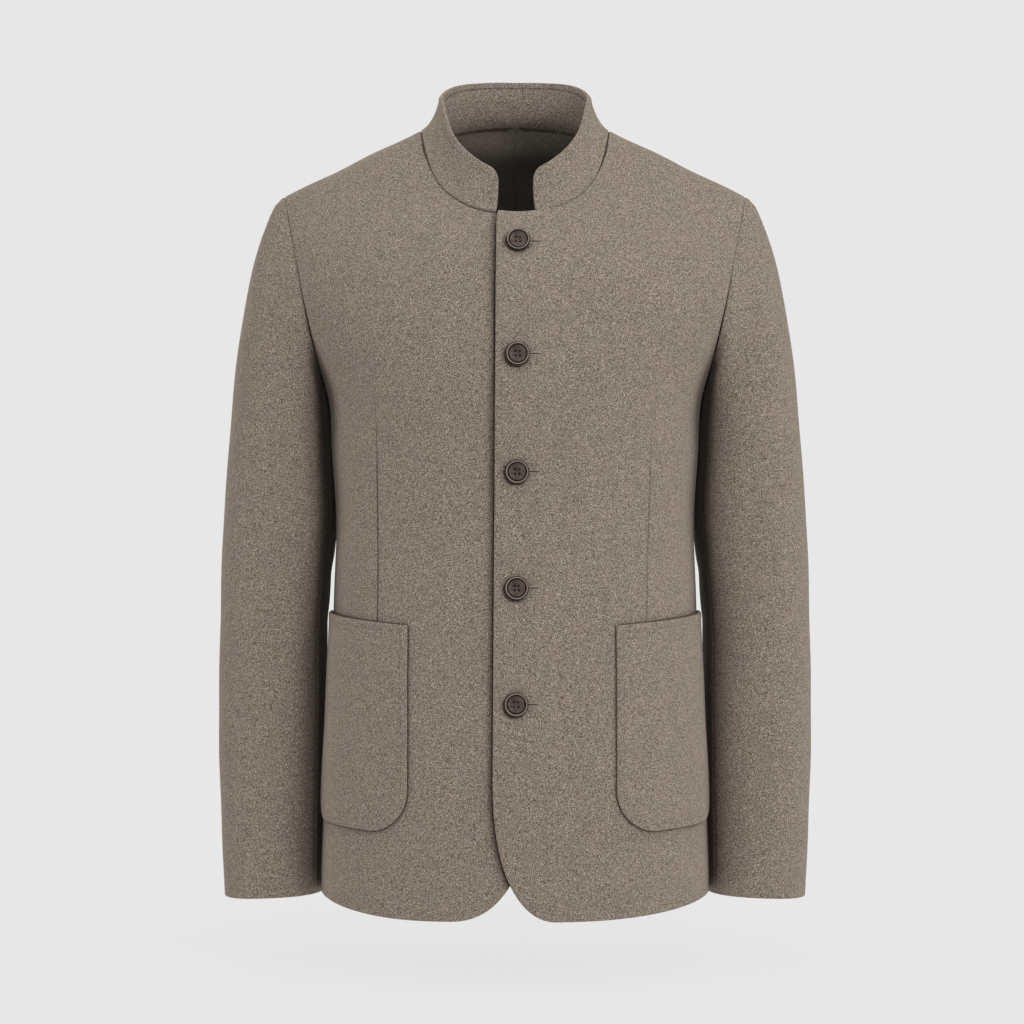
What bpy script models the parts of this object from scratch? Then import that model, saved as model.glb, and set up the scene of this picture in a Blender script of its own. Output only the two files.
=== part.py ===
# Stand-collar wool jacket, buttoned and filled out as if worn, with nobody inside.
# Metres. The front faces -Y, the wearer's left is +X, and the neck base is the origin.
import math

import bmesh
import bpy
import numpy as np

for old in list(bpy.data.objects):
    bpy.data.objects.remove(old, do_unlink=True)

# Cloth
CLOTH = 0.0022
COLLAR_CLOTH = 0.0040
SEAM_GAP = 0.0003

# Body
SQUARENESS = 2.3
FRONT_ROUND = 0.27
BACK_ROUND = 0.24
SHOULDER_GAP = 0.0008
FRONT_SHOULDER_ROUND = 0.147
BACK_SHOULDER_ROUND = 0.045
NECK_HALF_WIDTH = 0.0905
NECK_FRONT = 0.0810
NECK_BACK = 0.0740
NECK_FULLNESS = 0.12
NECK_CROWN = 0.060
SHOULDER_TIP = (0.2213, -0.0630)
UNDERARM = (0.1815, -0.2500)
HEM_FRONT = -0.7395
HEM_SIDE = -0.7280
HEM_RISE_FROM = 25
TORSO = (
    # height, half_width, side_y, front_y, back_y
    (-0.7600, 0.1890, 0.018, -0.1400, 0.1190),
    (-0.6200, 0.1838, 0.018, -0.1410, 0.1180),
    (-0.4700, 0.1745, 0.018, -0.1340, 0.1040),
    (-0.4000, 0.1719, 0.018, -0.1290, 0.1000),
    (-0.3500, 0.1717, 0.018, -0.1280, 0.1040),
    (-0.3000, 0.1757, 0.017, -0.1310, 0.1140),
    (-0.2500, 0.1815, 0.015, -0.1350, 0.1240),
    (-0.1900, 0.2120, 0.012, -0.1290, 0.1290),
    (-0.1200, 0.2320, 0.007, -0.1050, 0.1260),
    (-0.0600, 0.2430, 0.003, -0.0690, 0.1160),
    (0.0000, 0.2500, 0.000, -0.0500, 0.1070),
    (0.0500, 0.2540, 0.000, -0.0400, 0.1040),
)

# Front edges: the wearer's left laps over the right, and both corners are cut away round.
FRONTS = {
    "front_left": {
        "edge_top": -0.0142,
        "edge_low": -0.0188,
        "corner": (0.0600, 0.1205),
        "curve": 2.35,
        "collar_end": 0.0186,
        "lift": 0.0018,
        "lift_from": (0.0450, 0.0200),
    },
    "front_right": {
        "edge_top": -0.0142,
        "edge_low": -0.0165,
        "corner": (0.0800, 0.1395),
        "curve": 2.40,
        "collar_end": 0.0155,
        "lift": -0.0018,
        "lift_from": (0.0500, 0.0220),
    },
}
EDGE_TOP_HEIGHT = -0.083
EDGE_LOW_HEIGHT = -0.650

# Collar
COLLAR_BOW = 0.012
COLLAR_CORNER = 0.0075
COLLAR = (
    # around, height, lean
    (0, 0.0360, 0.0080),
    (45, 0.0400, 0.0145),
    (90, 0.0360, 0.0185),
    (120, 0.0396, 0.0130),
    (150, 0.0396, 0.0070),
    (180, 0.0380, 0.0060),
)

# Sleeve
FRONT_SEAM_TURN = 150
BACK_SEAM_TURN = 255
SLEEVE = (
    # along, outer_x, outer_z, inner_x, inner_z, middle_y, half_depth
    (0.000, 0.2213, -0.0630, 0.1815, -0.2500, 0.006, 0.0510),
    (0.008, 0.2272, -0.0668, 0.1818, -0.2510, 0.007, 0.0520),
    (0.028, 0.2368, -0.0847, 0.1820, -0.2530, 0.010, 0.0550),
    (0.048, 0.2435, -0.1034, 0.1820, -0.2560, 0.012, 0.0580),
    (0.107, 0.2586, -0.1608, 0.1812, -0.2640, 0.018, 0.0630),
    (0.165, 0.2683, -0.2185, 0.1797, -0.2760, 0.024, 0.0660),
    (0.204, 0.2731, -0.2570, 0.1776, -0.2930, 0.028, 0.0670),
    (0.263, 0.2779, -0.3152, 0.1745, -0.3290, 0.031, 0.0660),
    (0.321, 0.2819, -0.3734, 0.1732, -0.3780, 0.033, 0.0640),
    (0.399, 0.2855, -0.4513, 0.1810, -0.4530, 0.034, 0.0610),
    (0.477, 0.2868, -0.5290, 0.1860, -0.5290, 0.033, 0.0580),
    (0.550, 0.2860, -0.6017, 0.1882, -0.6010, 0.030, 0.0550),
    (0.622, 0.2841, -0.6741, 0.1903, -0.6720, 0.026, 0.0520),
    (0.683, 0.2812, -0.7338, 0.1916, -0.7310, 0.022, 0.0495),
)
SLEEVE_ROUND = 0.35
CAP_BLEND = 0.120
HEAD_ROUND = 0.010
HEAD_SPAN = (-0.1, 0.4)

# Patch pocket
POCKET_INNER = {"pocket_left": 0.0925, "pocket_right": 0.0985}
POCKET_OUTER_TURN = 88.0
POCKET_WIDTH = 0.160
POCKET_BOTTOM = -0.6605
POCKET_MOUTH = (-0.4700, -0.4600)
POCKET_CORNER = 0.040
POCKET_GAP = 0.0009
POCKET_STAND = 0.0012

# Buttons
BUTTON_RADIUS = 0.0108
BUTTON_THICK = 0.0040
BUTTON_RIM = 0.0022
BUTTON_BELLY = 0.0024
BUTTON_FOOT = 0.0020
BUTTON_EDGE = 0.0005
BUTTON_DISH = 0.0010
BUTTON_HOLE = 0.0011
BUTTON_HOLE_SPACING = 0.0021
BUTTON_GAP = 0.0003
BUTTONS = (
    # across, height
    (0.0028, -0.1175),
    (0.0023, -0.2220),
    (0.0018, -0.3290),
    (0.0014, -0.4355),
    (0.0009, -0.5410),
)

# Mesh steps
FRONT_STEPS = 12
BACK_STEPS = 10
HEM_ROWS = 6
BACK_HEM_ROWS = 3
SIDE_ROWS = 9
CHEST_ROWS = 12
FRONT_NECK_ROW = 5
BACK_NECK_ROW = 7
SLEEVE_ROWS = 16
SLEEVE_CROWDING = 1.9
COLLAR_ROWS = 4
POCKET_STEPS = 13
POCKET_ROWS = 10
POCKET_CROWDING = 1.4
BUTTON_SIDES = 16
HOLE_SIDES = 6
LOWER = 0.60
CORNER_SHARE = 0.34

WOOL = (0.215, 0.178, 0.145, 1.0)
HORN = (0.062, 0.045, 0.036, 1.0)


def spline(rows):
    # A natural cubic through the rows; the first column is the place along it.
    table = np.array(rows, float)
    at = table[:, 0]
    values = table[:, 1:]
    steps = np.diff(at)
    count = len(at)
    equations = np.eye(count)
    bends = np.zeros_like(values)
    for i in range(1, count - 1):
        equations[i, i - 1 : i + 2] = steps[i - 1], 2 * (steps[i - 1] + steps[i]), steps[i]
        rise = (values[i + 1] - values[i]) / steps[i]
        bends[i] = 6 * (rise - (values[i] - values[i - 1]) / steps[i - 1])
    bends = np.linalg.solve(equations, bends)

    def value(place):
        place = np.asarray(place, float)
        k = np.clip(np.searchsorted(at, place) - 1, 0, count - 2)
        step = steps[k][..., None]
        ahead = (at[k + 1] - place)[..., None]
        past = (place - at[k])[..., None]
        curve = (bends[k] * ahead**3 + bends[k + 1] * past**3) / (6 * step)
        start = (values[k] / step - bends[k] * step / 6) * ahead
        end = (values[k + 1] / step - bends[k + 1] * step / 6) * past
        return curve + start + end

    return value


torso_sizes = spline(TORSO)
sleeve_sizes = spline(SLEEVE)
collar_sizes = spline(COLLAR)
SHOULDER_SLOPE = -SHOULDER_TIP[1] / (SHOULDER_TIP[0] - NECK_HALF_WIDTH)


def ease(share):
    share = np.clip(share, 0, 1)
    return share * share * (3 - 2 * share)


def ridge_height(across):
    # The shoulder line, rounded off to a crown inside the neck.
    away = np.abs(across)
    line = (NECK_HALF_WIDTH - away) * SHOULDER_SLOPE
    crown = (NECK_HALF_WIDTH - NECK_CROWN) * SHOULDER_SLOPE
    crown = crown + (NECK_CROWN**2 - away**2) * SHOULDER_SLOPE / (2 * NECK_CROWN)
    return np.where(away > NECK_CROWN, line, crown)


def torso_point(turn, height, back):
    # A point of the filled-out body: turn is 0 at the centre line and 90 degrees at the side.
    half_width, side_y, front_y, back_y = np.moveaxis(torso_sizes(height), -1, 0)
    across = half_width * np.sign(np.sin(turn)) * np.abs(np.sin(turn)) ** (2 / SQUARENESS)
    deep = np.abs(np.cos(turn)) ** (2 / SQUARENESS)
    rounding = BACK_SHOULDER_ROUND if back else FRONT_SHOULDER_ROUND
    fall = np.clip((ridge_height(across) - height) / rounding, 0, 1)
    deep = deep * np.sqrt(1 - (1 - fall) ** 2)
    far_y = back_y if back else front_y
    return np.stack([across, side_y + (far_y - side_y) * deep, height + 0 * across], -1)


def torso_turn(across, height):
    share = np.clip(np.abs(across) / torso_sizes(height)[..., 0], 0, 1)
    return np.sign(across) * np.arcsin(share ** (SQUARENESS / 2))


def body_height(across, wanted_y):
    # How high the body is over a place seen from above.
    low = np.full(np.shape(across), UNDERARM[1])
    high = ridge_height(across)
    for halving in range(48):
        middle = (low + high) / 2
        turn = torso_turn(np.abs(across), middle)
        front_y = torso_point(turn, middle, False)[..., 1]
        back_y = torso_point(turn, middle, True)[..., 1]
        shallow = np.where(wanted_y < 0, front_y > wanted_y, back_y < wanted_y)
        high = np.where(shallow, middle, high)
        low = np.where(shallow, low, middle)
    return (low + high) / 2


def neck_point(around):
    # The neckline is an oval seen from above, fuller in front, laid on the body.
    across = NECK_HALF_WIDTH * np.sin(around)
    front = NECK_FRONT * (1 + NECK_FULLNESS * np.sin(around) ** 2)
    y = -np.cos(around) * np.where(np.cos(around) >= 0, front, NECK_BACK)
    return np.stack([across, y, body_height(across, y)], -1)


def armhole_across(height):
    share = (height - UNDERARM[1]) / (SHOULDER_TIP[1] - UNDERARM[1])
    return UNDERARM[0] + share * (SHOULDER_TIP[0] - UNDERARM[0])


def patch(u, s, low, top, left, right):
    # Fills four edges, each a function giving (turn, height), with a smooth grid. Rows crowd
    # together at both ends where the edges turn fastest.
    t = ((1 - np.cos(np.pi * s)) / 2)[..., None]
    corners = (1 - t) * low(0 * u) + t * top(0 * u)
    corners = corners + u[..., None] * ((1 - t) * (low(0 * u + 1) - low(0 * u)))
    corners = corners + u[..., None] * (t * (top(0 * u + 1) - top(0 * u)))
    sides = (1 - u[..., None]) * left(s) + u[..., None] * right(s)
    return (1 - t) * low(u) + t * top(u) + sides - corners


def pair(turn, height):
    return np.stack(np.broadcast_arrays(turn, height), -1)


def armhole(s):
    height = UNDERARM[1] + (SHOULDER_TIP[1] - UNDERARM[1]) * (1 - np.cos(np.pi * s)) / 2
    return pair(torso_turn(armhole_across(height), height), height)


def shoulder_seam(u):
    across = NECK_HALF_WIDTH + (SHOULDER_TIP[0] - NECK_HALF_WIDTH) * u
    return pair(torso_turn(across, ridge_height(across)), ridge_height(across))


def neck_edge(around):
    neck = neck_point(around)
    return pair(torso_turn(neck[..., 0], neck[..., 2]), neck[..., 2])


def front_edge(style, height):
    # How far across the front edge is; it runs past the centre line.
    share = (height - EDGE_TOP_HEIGHT) / (EDGE_LOW_HEIGHT - EDGE_TOP_HEIGHT)
    return style["edge_top"] + np.clip(share, 0, 1) * (style["edge_low"] - style["edge_top"])


def front_grid(style, u, v):
    wide, tall = style["corner"]
    start_across = style["edge_low"] + wide
    start_turn = torso_turn(np.array(start_across), np.array(HEM_FRONT))
    round_top = HEM_FRONT + tall

    def hem(u):
        turn = start_turn + (np.pi / 2 - start_turn) * u
        rise = ease((np.degrees(turn) - HEM_RISE_FROM) / (90 - HEM_RISE_FROM))
        return pair(turn, HEM_FRONT + (HEM_SIDE - HEM_FRONT) * rise)

    def centre(s):
        bend = np.pi / 2 * np.clip(s / CORNER_SHARE, 0, 1)
        power = 2 / style["curve"]
        straight = np.clip((s - CORNER_SHARE) / (1 - CORNER_SHARE), 0, 1)
        height = round_top - tall * np.cos(bend) ** power
        height = np.where(s > CORNER_SHARE, round_top + (UNDERARM[1] - round_top) * straight, height)
        across = start_across - (start_across - front_edge(style, height)) * np.sin(bend) ** power
        return pair(torso_turn(across, height), height)

    def side(s):
        low_part = HEM_SIDE + (round_top - HEM_SIDE) * np.clip(s / CORNER_SHARE, 0, 1)
        high_part = np.clip((s - CORNER_SHARE) / (1 - CORNER_SHARE), 0, 1)
        return pair(np.pi / 2, low_part + (UNDERARM[1] - round_top) * high_part)

    chest_across = front_edge(style, np.array(UNDERARM[1]))
    chest_turn = torso_turn(chest_across, np.array(UNDERARM[1]))

    def chest(u):
        return pair(chest_turn + (np.pi / 2 - chest_turn) * u, UNDERARM[1])

    neck_start = math.asin(style["edge_top"] / NECK_HALF_WIDTH)
    collar_start = math.asin(style["collar_end"] / NECK_HALF_WIDTH)
    neck_height = neck_point(np.array(neck_start))[2]
    neck_share = FRONT_NECK_ROW / CHEST_ROWS
    collar_share = (FRONT_NECK_ROW + 1) / CHEST_ROWS

    def upper_centre(s):
        height = UNDERARM[1] + (neck_height - UNDERARM[1]) * np.clip(s / neck_share, 0, 1)
        edge = pair(torso_turn(front_edge(style, height), height), height)
        around = np.interp(s, [neck_share, collar_share, 1], [neck_start, collar_start, np.pi / 2])
        return np.where((s < neck_share)[..., None], edge, neck_edge(around))

    low_share = np.clip(v / LOWER, 0, 1)
    top_share = np.clip((v - LOWER) / (1 - LOWER), 0, 1)
    lower_rows = patch(u, low_share, hem, chest, centre, side)
    upper_rows = patch(u, top_share, chest, shoulder_seam, upper_centre, armhole)
    return np.where((v < LOWER)[..., None], lower_rows, upper_rows)


def back_grid(u, v):
    def hem(u):
        return pair(np.pi / 2 * u, HEM_SIDE)

    def chest(u):
        return pair(np.pi / 2 * u, UNDERARM[1])

    def centre(s):
        return pair(0.0, HEM_SIDE + (UNDERARM[1] - HEM_SIDE) * s)

    def side(s):
        return pair(np.pi / 2, HEM_SIDE + (UNDERARM[1] - HEM_SIDE) * s)

    neck_height = neck_point(np.array(np.pi))[2]
    neck_share = BACK_NECK_ROW / CHEST_ROWS

    def upper_centre(s):
        height = UNDERARM[1] + (neck_height - UNDERARM[1]) * np.clip(s / neck_share, 0, 1)
        neck = neck_edge(np.interp(s, [neck_share, 1], [np.pi, np.pi / 2]))
        return np.where((s < neck_share)[..., None], pair(0.0, height), neck)

    low_share = np.clip(v / LOWER, 0, 1)
    top_share = np.clip((v - LOWER) / (1 - LOWER), 0, 1)
    lower_rows = patch(u, low_share, hem, chest, centre, side)
    upper_rows = patch(u, top_share, chest, shoulder_seam, upper_centre, armhole)
    return np.where((v < LOWER)[..., None], lower_rows, upper_rows)


def normals(surface, u, v, last_u=1.0, step=1e-4):
    # Taken just inside the edges, because a grid can pinch at a corner.
    u = np.clip(u, 10 * step, last_u - 10 * step)
    v = np.clip(v, 10 * step, 1 - 10 * step)
    ahead = surface(u + step, v) - surface(u - step, v)
    along = surface(u, v + step) - surface(u, v - step)
    cross = np.cross(ahead, along)
    return cross / np.linalg.norm(cross, axis=-1, keepdims=True)


def plain_front(style):
    def surface(u, v):
        place = front_grid(style, u, v)
        return torso_point(place[..., 0], place[..., 1], False)

    return surface


def front_surface(style):
    # The lap lifts a front off the one beneath it, or presses it in.
    plain = plain_front(style)

    def surface(u, v):
        points = plain(u, v)
        begins, full = style["lift_from"]
        share = ease((begins - points[..., 0]) / (begins - full))
        return points + normals(plain, u, v) * (style["lift"] * share)[..., None]

    return surface


def back_surface(u, v):
    place = back_grid(u, v)
    return torso_point(place[..., 0], place[..., 1], True)


def armhole_point(turn):
    # The armhole edge; turn is 0 at the shoulder tip and 90 degrees at the front.
    place = armhole(np.arccos(-np.cos(turn)) / np.pi)
    front = torso_point(place[..., 0], place[..., 1], False)
    back = torso_point(place[..., 0], place[..., 1], True)
    return np.where((np.sin(turn) >= 0)[..., None], front, back)


def armhole_lead(turn):
    # The way the body's cloth points as it reaches the armhole.
    v = LOWER + (1 - LOWER) * np.arccos(-np.cos(turn)) / np.pi
    front = normals(plain_front(FRONTS["front_left"]), 0 * v + 1, v)
    back = normals(back_surface, 0 * v + 1, v)
    out = np.where((np.sin(turn) >= 0)[..., None], front, -back)
    edge = armhole_point(turn + 1e-3) - armhole_point(turn - 1e-3)
    lead = np.cross(out, edge)
    lead = lead / np.linalg.norm(lead, axis=-1, keepdims=True)
    return lead * np.sign(lead[..., :1])


def sleeve_ring(turn, along):
    outer_x, outer_z, inner_x, inner_z, middle_y, half_depth = np.moveaxis(sleeve_sizes(along), -1, 0)
    x = (outer_x + inner_x) / 2 + (outer_x - inner_x) / 2 * np.cos(turn)
    z = (outer_z + inner_z) / 2 + (outer_z - inner_z) / 2 * np.cos(turn)
    y = middle_y - half_depth * np.sin(turn)
    share = ease(along / CAP_BLEND)
    return np.stack([x, armhole_point(turn)[..., 1] * (1 - share) + y * share, z], -1)


def sleeve_point(turn, along):
    # Over the shoulder the sleeve sets off the way the body's cloth points.
    own = (sleeve_ring(turn, 0 * along + 1e-4) - sleeve_ring(turn, 0 * along)) / 1e-4
    lead = armhole_lead(turn) * np.linalg.norm(own, axis=-1, keepdims=True)
    upper = ease((np.cos(turn) - HEAD_SPAN[0]) / (HEAD_SPAN[1] - HEAD_SPAN[0]))
    share = upper * along * np.exp(-along / HEAD_ROUND)
    return sleeve_ring(turn, along) + (lead - own) * share[..., None]


def sleeve_surface(turn_from, turn_to):
    length = SLEEVE[-1][0]

    def surface(u, v):
        turn = np.radians(turn_from + (turn_to - turn_from) * u)
        return sleeve_point(turn, length * (1 - v))

    return surface


def neck_lead(around):
    # The way the body's cloth points as it reaches the neckline.
    neck = neck_point(around)
    step = 1e-4
    x = neck[..., 0]
    y = neck[..., 1]
    slope_x = (body_height(x + step, y) - body_height(x - step, y)) / (2 * step)
    slope_y = (body_height(x, y + step) - body_height(x, y - step)) / (2 * step)
    out = np.stack([-slope_x, -slope_y, 0 * x + 1], -1)
    lead = np.cross(out, neck_point(around + 1e-3) - neck_point(around - 1e-3))
    return lead / np.linalg.norm(lead, axis=-1, keepdims=True)


def collar_surface(around, v):
    # Each upright of the collar is a bow that leaves the neckline along the body's cloth.
    base = neck_point(around)
    inward = np.stack([-base[..., 0] / NECK_HALF_WIDTH**2, np.cos(around) / NECK_FRONT, 0 * v], -1)
    inward = inward / np.linalg.norm(inward, axis=-1, keepdims=True)
    height, lean = np.moveaxis(collar_sizes(np.degrees(np.arccos(np.cos(around)))), -1, 0)
    gap = SEAM_GAP / (2 * COLLAR_BOW)
    share = (gap + (1 - gap) * v)[..., None]
    top = inward * lean[..., None] + np.array([0.0, 0.0, 1.0]) * height[..., None]
    bow = neck_lead(around) * COLLAR_BOW
    return base + 2 * share * (1 - share) * bow + share**2 * top


def pocket_surface(inner_across):
    # Built from the front's own points, moved out; the mouth stands off a little.
    def plain(turn, height):
        return torso_point(turn, height, False)

    def surface(u, v):
        mouth = POCKET_MOUTH[0] + (POCKET_MOUTH[1] - POCKET_MOUTH[0]) * u
        height = POCKET_BOTTOM + (mouth - POCKET_BOTTOM) * v
        short = np.clip(POCKET_CORNER - height + POCKET_BOTTOM, 0, POCKET_CORNER)
        inset = (POCKET_CORNER - np.sqrt(POCKET_CORNER**2 - short**2)) / POCKET_WIDTH
        share = inset + (1 - 2 * inset) * u
        inner = torso_turn(np.full(np.shape(height), inner_across), height)
        turn = inner + (math.radians(POCKET_OUTER_TURN) - inner) * share
        step = 1e-4
        across = plain(turn + step, height) - plain(turn - step, height)
        up = plain(turn, height + step) - plain(turn, height - step)
        out = np.cross(across, up)
        out = out / np.linalg.norm(out, axis=-1, keepdims=True)
        stand = POCKET_STAND * np.sqrt(np.sin(np.pi * np.clip(share, 0, 1))) * ease(v)
        return plain(turn, height) + out * (POCKET_GAP + CLOTH + stand)[..., None]

    return surface


def material(name, colour, roughness):
    made = bpy.data.materials.new(name)
    made.use_nodes = True
    shader = made.node_tree.nodes["Principled BSDF"]
    shader.inputs["Base Color"].default_value = colour
    shader.inputs["Roughness"].default_value = roughness
    return made


jacket = bpy.data.collections.new("stand_collar_jacket")
bpy.context.scene.collection.children.link(jacket)
cutters = bpy.data.collections.new("cutters")
bpy.context.scene.collection.children.link(cutters)


def placed(name, mesh, look, collection):
    made = bpy.data.objects.new(name, mesh)
    made.data.materials.append(look)
    collection.objects.link(made)
    return made


def shell(name, surface, columns, rows, thick, right=False, clockwise=False, rounding=0):
    # Two grids, one on the surface and one the cloth's thickness inside it, joined at the rim.
    # The wearer's right is the left mirrored; a clockwise surface has its faces turned round.
    u, v = np.meshgrid(columns, rows)
    outer = surface(u, v)
    out = normals(surface, u, v, max(1.0, columns[-1])) * (-1 if clockwise else 1)
    work = bmesh.new()
    layers = []
    for points in (outer, outer - thick * out):
        if right:
            points = points * np.array([-1.0, 1.0, 1.0])
        made = bmesh.ops.create_grid(work, x_segments=len(columns) - 1, y_segments=len(rows) - 1, size=0.5)
        layer = {}
        for corner in made["verts"]:
            i = round((corner.co.x + 0.5) * (len(columns) - 1))
            j = round((corner.co.y + 0.5) * (len(rows) - 1))
            layer[i, j] = corner
        for (i, j), corner in layer.items():
            corner.co = points[j, i]
        layers.append(layer)
    last_i = len(columns) - 1
    last_j = len(rows) - 1
    rim = [(i, 0) for i in range(last_i)] + [(last_i, j) for j in range(last_j)]
    rim += [(last_i - i, last_j) for i in range(last_i)] + [(0, last_j - j) for j in range(last_j)]
    for here, after in zip(rim, rim[1:] + rim[:1]):
        work.faces.new((layers[0][after], layers[0][here], layers[1][here], layers[1][after]))
    bmesh.ops.recalc_face_normals(work, faces=work.faces[:])
    if rounding:
        ends = [[layer[i, last_j] for layer in layers] for i in (0, last_i)]
        corners = [work.edges.get(end) for end in ends]
        bmesh.ops.bevel(work, geom=corners, offset=rounding, segments=3, profile=0.5, affect="EDGES")
    mesh = bpy.data.meshes.new(name)
    work.to_mesh(mesh)
    work.free()
    return placed(name, mesh, material(name + "_wool", WOOL, 0.9), jacket)


def seam_range(count, first, last, length):
    # Even steps, with the end ones pulled back from a seam by half the gap.
    low = SEAM_GAP / 2 / length if first else 0.0
    high = SEAM_GAP / 2 / length if last else 0.0
    return np.clip(np.linspace(0, 1, count + 1), low, 1 - high)


def panel_rows(hem_rows):
    low_rows = LOWER * CORNER_SHARE * np.linspace(0, 1, hem_rows + 1)
    side_rows = LOWER * np.linspace(CORNER_SHARE, 1, SIDE_ROWS + 1)[1:]
    top_rows = LOWER + (1 - LOWER) * np.linspace(0, 1, CHEST_ROWS + 1)[1:]
    rows = np.concatenate([low_rows, side_rows, top_rows])
    rows[-1] = 1 - SHOULDER_GAP
    return rows


columns = seam_range(FRONT_STEPS, False, True, FRONT_ROUND)
for panel, style in FRONTS.items():
    shell(panel, front_surface(style), columns, panel_rows(HEM_ROWS), CLOTH, panel == "front_right")

columns = seam_range(BACK_STEPS, True, True, BACK_ROUND)
for panel in ("back_left", "back_right"):
    shell(panel, back_surface, columns, panel_rows(BACK_HEM_ROWS), CLOTH, panel == "back_right", True)

sleeve_length = SLEEVE[-1][0]
sleeve_rows = 1 - np.linspace(1, 0, SLEEVE_ROWS + 1) ** SLEEVE_CROWDING
sleeve_rows = sleeve_rows * (1 - SEAM_GAP / sleeve_length)
for side in ("left", "right"):
    for piece, turn_from, turn_to in (
        ("top", BACK_SEAM_TURN - 360, FRONT_SEAM_TURN),
        ("under", FRONT_SEAM_TURN, BACK_SEAM_TURN),
    ):
        count = round((turn_to - turn_from) * CHEST_ROWS / 180)
        columns = seam_range(count, True, True, SLEEVE_ROUND * (turn_to - turn_from) / 360)
        surface = sleeve_surface(turn_from, turn_to)
        shell(f"sleeve_{piece}_{side}", surface, columns, sleeve_rows, CLOTH, side == "right", True)

# The collar's uprights stand where the rows of the fronts and backs reach the neckline.
front_count = CHEST_ROWS - FRONT_NECK_ROW - 1
back_count = CHEST_ROWS - BACK_NECK_ROW
start, end = [math.asin(FRONTS[panel]["collar_end"] / NECK_HALF_WIDTH) for panel in FRONTS]
quarter = np.pi / 2
columns = np.concatenate([
    np.linspace(start, quarter, front_count + 1)[:-1],
    np.linspace(quarter, 3 * quarter, 2 * back_count + 1)[:-1],
    np.linspace(3 * quarter, 4 * quarter - end, front_count + 1),
])
collar_rows = np.linspace(0, 1, COLLAR_ROWS + 1)
shell("collar", collar_surface, columns, collar_rows, COLLAR_CLOTH, rounding=COLLAR_CORNER)

pocket_rows = np.linspace(0, 1, POCKET_ROWS + 1) ** POCKET_CROWDING
columns = np.linspace(0, 1, POCKET_STEPS + 1)
for pocket, inner_across in POCKET_INNER.items():
    surface = pocket_surface(inner_across)
    shell(pocket, surface, columns, pocket_rows, CLOTH, pocket == "pocket_right")


def button(number, across, height):
    # A turned disc with a raised rim and four sewing holes, lying on the lapped front.
    profile = (
        (0.0, 0.0),
        (BUTTON_RADIUS - BUTTON_FOOT, 0.0),
        (BUTTON_RADIUS - BUTTON_EDGE, BUTTON_BELLY / 2),
        (BUTTON_RADIUS, BUTTON_BELLY),
        (BUTTON_RADIUS - BUTTON_EDGE, BUTTON_THICK - BUTTON_EDGE),
        (BUTTON_RADIUS - BUTTON_RIM / 2, BUTTON_THICK),
        (BUTTON_RADIUS - BUTTON_RIM, BUTTON_THICK - BUTTON_DISH),
        (0.0, BUTTON_THICK - BUTTON_DISH * 1.6),
    )
    mesh = bpy.data.meshes.new(f"button_{number}")
    work = bmesh.new()
    line = [work.verts.new((radius, 0.0, up)) for radius, up in profile]
    edges = [work.edges.new(ends) for ends in zip(line, line[1:])]
    bmesh.ops.spin(
        work,
        geom=line + edges,
        axis=(0, 0, 1),
        cent=(0, 0, 0),
        steps=BUTTON_SIDES,
        angle=2 * np.pi,
        use_merge=True,
    )
    bmesh.ops.remove_doubles(work, verts=work.verts[:], dist=1e-6)
    bmesh.ops.recalc_face_normals(work, faces=work.faces[:])
    work.to_mesh(mesh)
    work.free()
    made = placed(f"button_{number}", mesh, material(f"button_{number}_horn", HORN, 0.45), jacket)

    holes = bpy.data.meshes.new(f"holes_{number}")
    work = bmesh.new()
    for x in (-1, 1):
        for y in (-1, 1):
            drilled = bmesh.ops.create_cone(
                work,
                cap_ends=True,
                segments=HOLE_SIDES,
                radius1=BUTTON_HOLE,
                radius2=BUTTON_HOLE,
                depth=4 * BUTTON_THICK,
            )
            shift = (x * BUTTON_HOLE_SPACING, y * BUTTON_HOLE_SPACING, 0)
            bmesh.ops.translate(work, verts=drilled["verts"], vec=shift)
    work.to_mesh(holes)
    work.free()
    drill = placed(f"holes_{number}", holes, material(f"holes_{number}_tool", HORN, 0.5), cutters)
    drill.hide_render = True
    drill.display_type = "WIRE"
    cut = made.modifiers.new("holes", "BOOLEAN")
    cut.object = drill
    cut.operation = "DIFFERENCE"
    cut.solver = "EXACT"

    place = np.array([across]), np.array([height])
    turn = torso_turn(*place)
    spot = torso_point(turn, place[1], False)[0]
    step = 1e-3
    up_way = torso_point(turn, place[1] + step, False)[0] - torso_point(turn, place[1] - step, False)[0]
    out = np.cross(np.array([1.0, 0.0, 0.0]), up_way)
    out = out / np.linalg.norm(out)
    tilt = math.atan2(-out[1], out[2])
    spot = spot + out * (FRONTS["front_left"]["lift"] + BUTTON_GAP)
    for item in (made, drill):
        item.location = spot
        item.rotation_euler = (tilt, 0.0, 0.0)


for number, (across, height) in enumerate(BUTTONS, 1):
    button(number, across, height)
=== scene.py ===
# Stand-collar wool jacket, buttoned and filled out as if worn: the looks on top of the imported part.
# Metres. The front faces -Y, the wearer's left is +X and the neck base is the origin.
import math

import bmesh
import bpy
import numpy as np
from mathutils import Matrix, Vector
from mathutils.bvhtree import BVHTree


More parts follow.
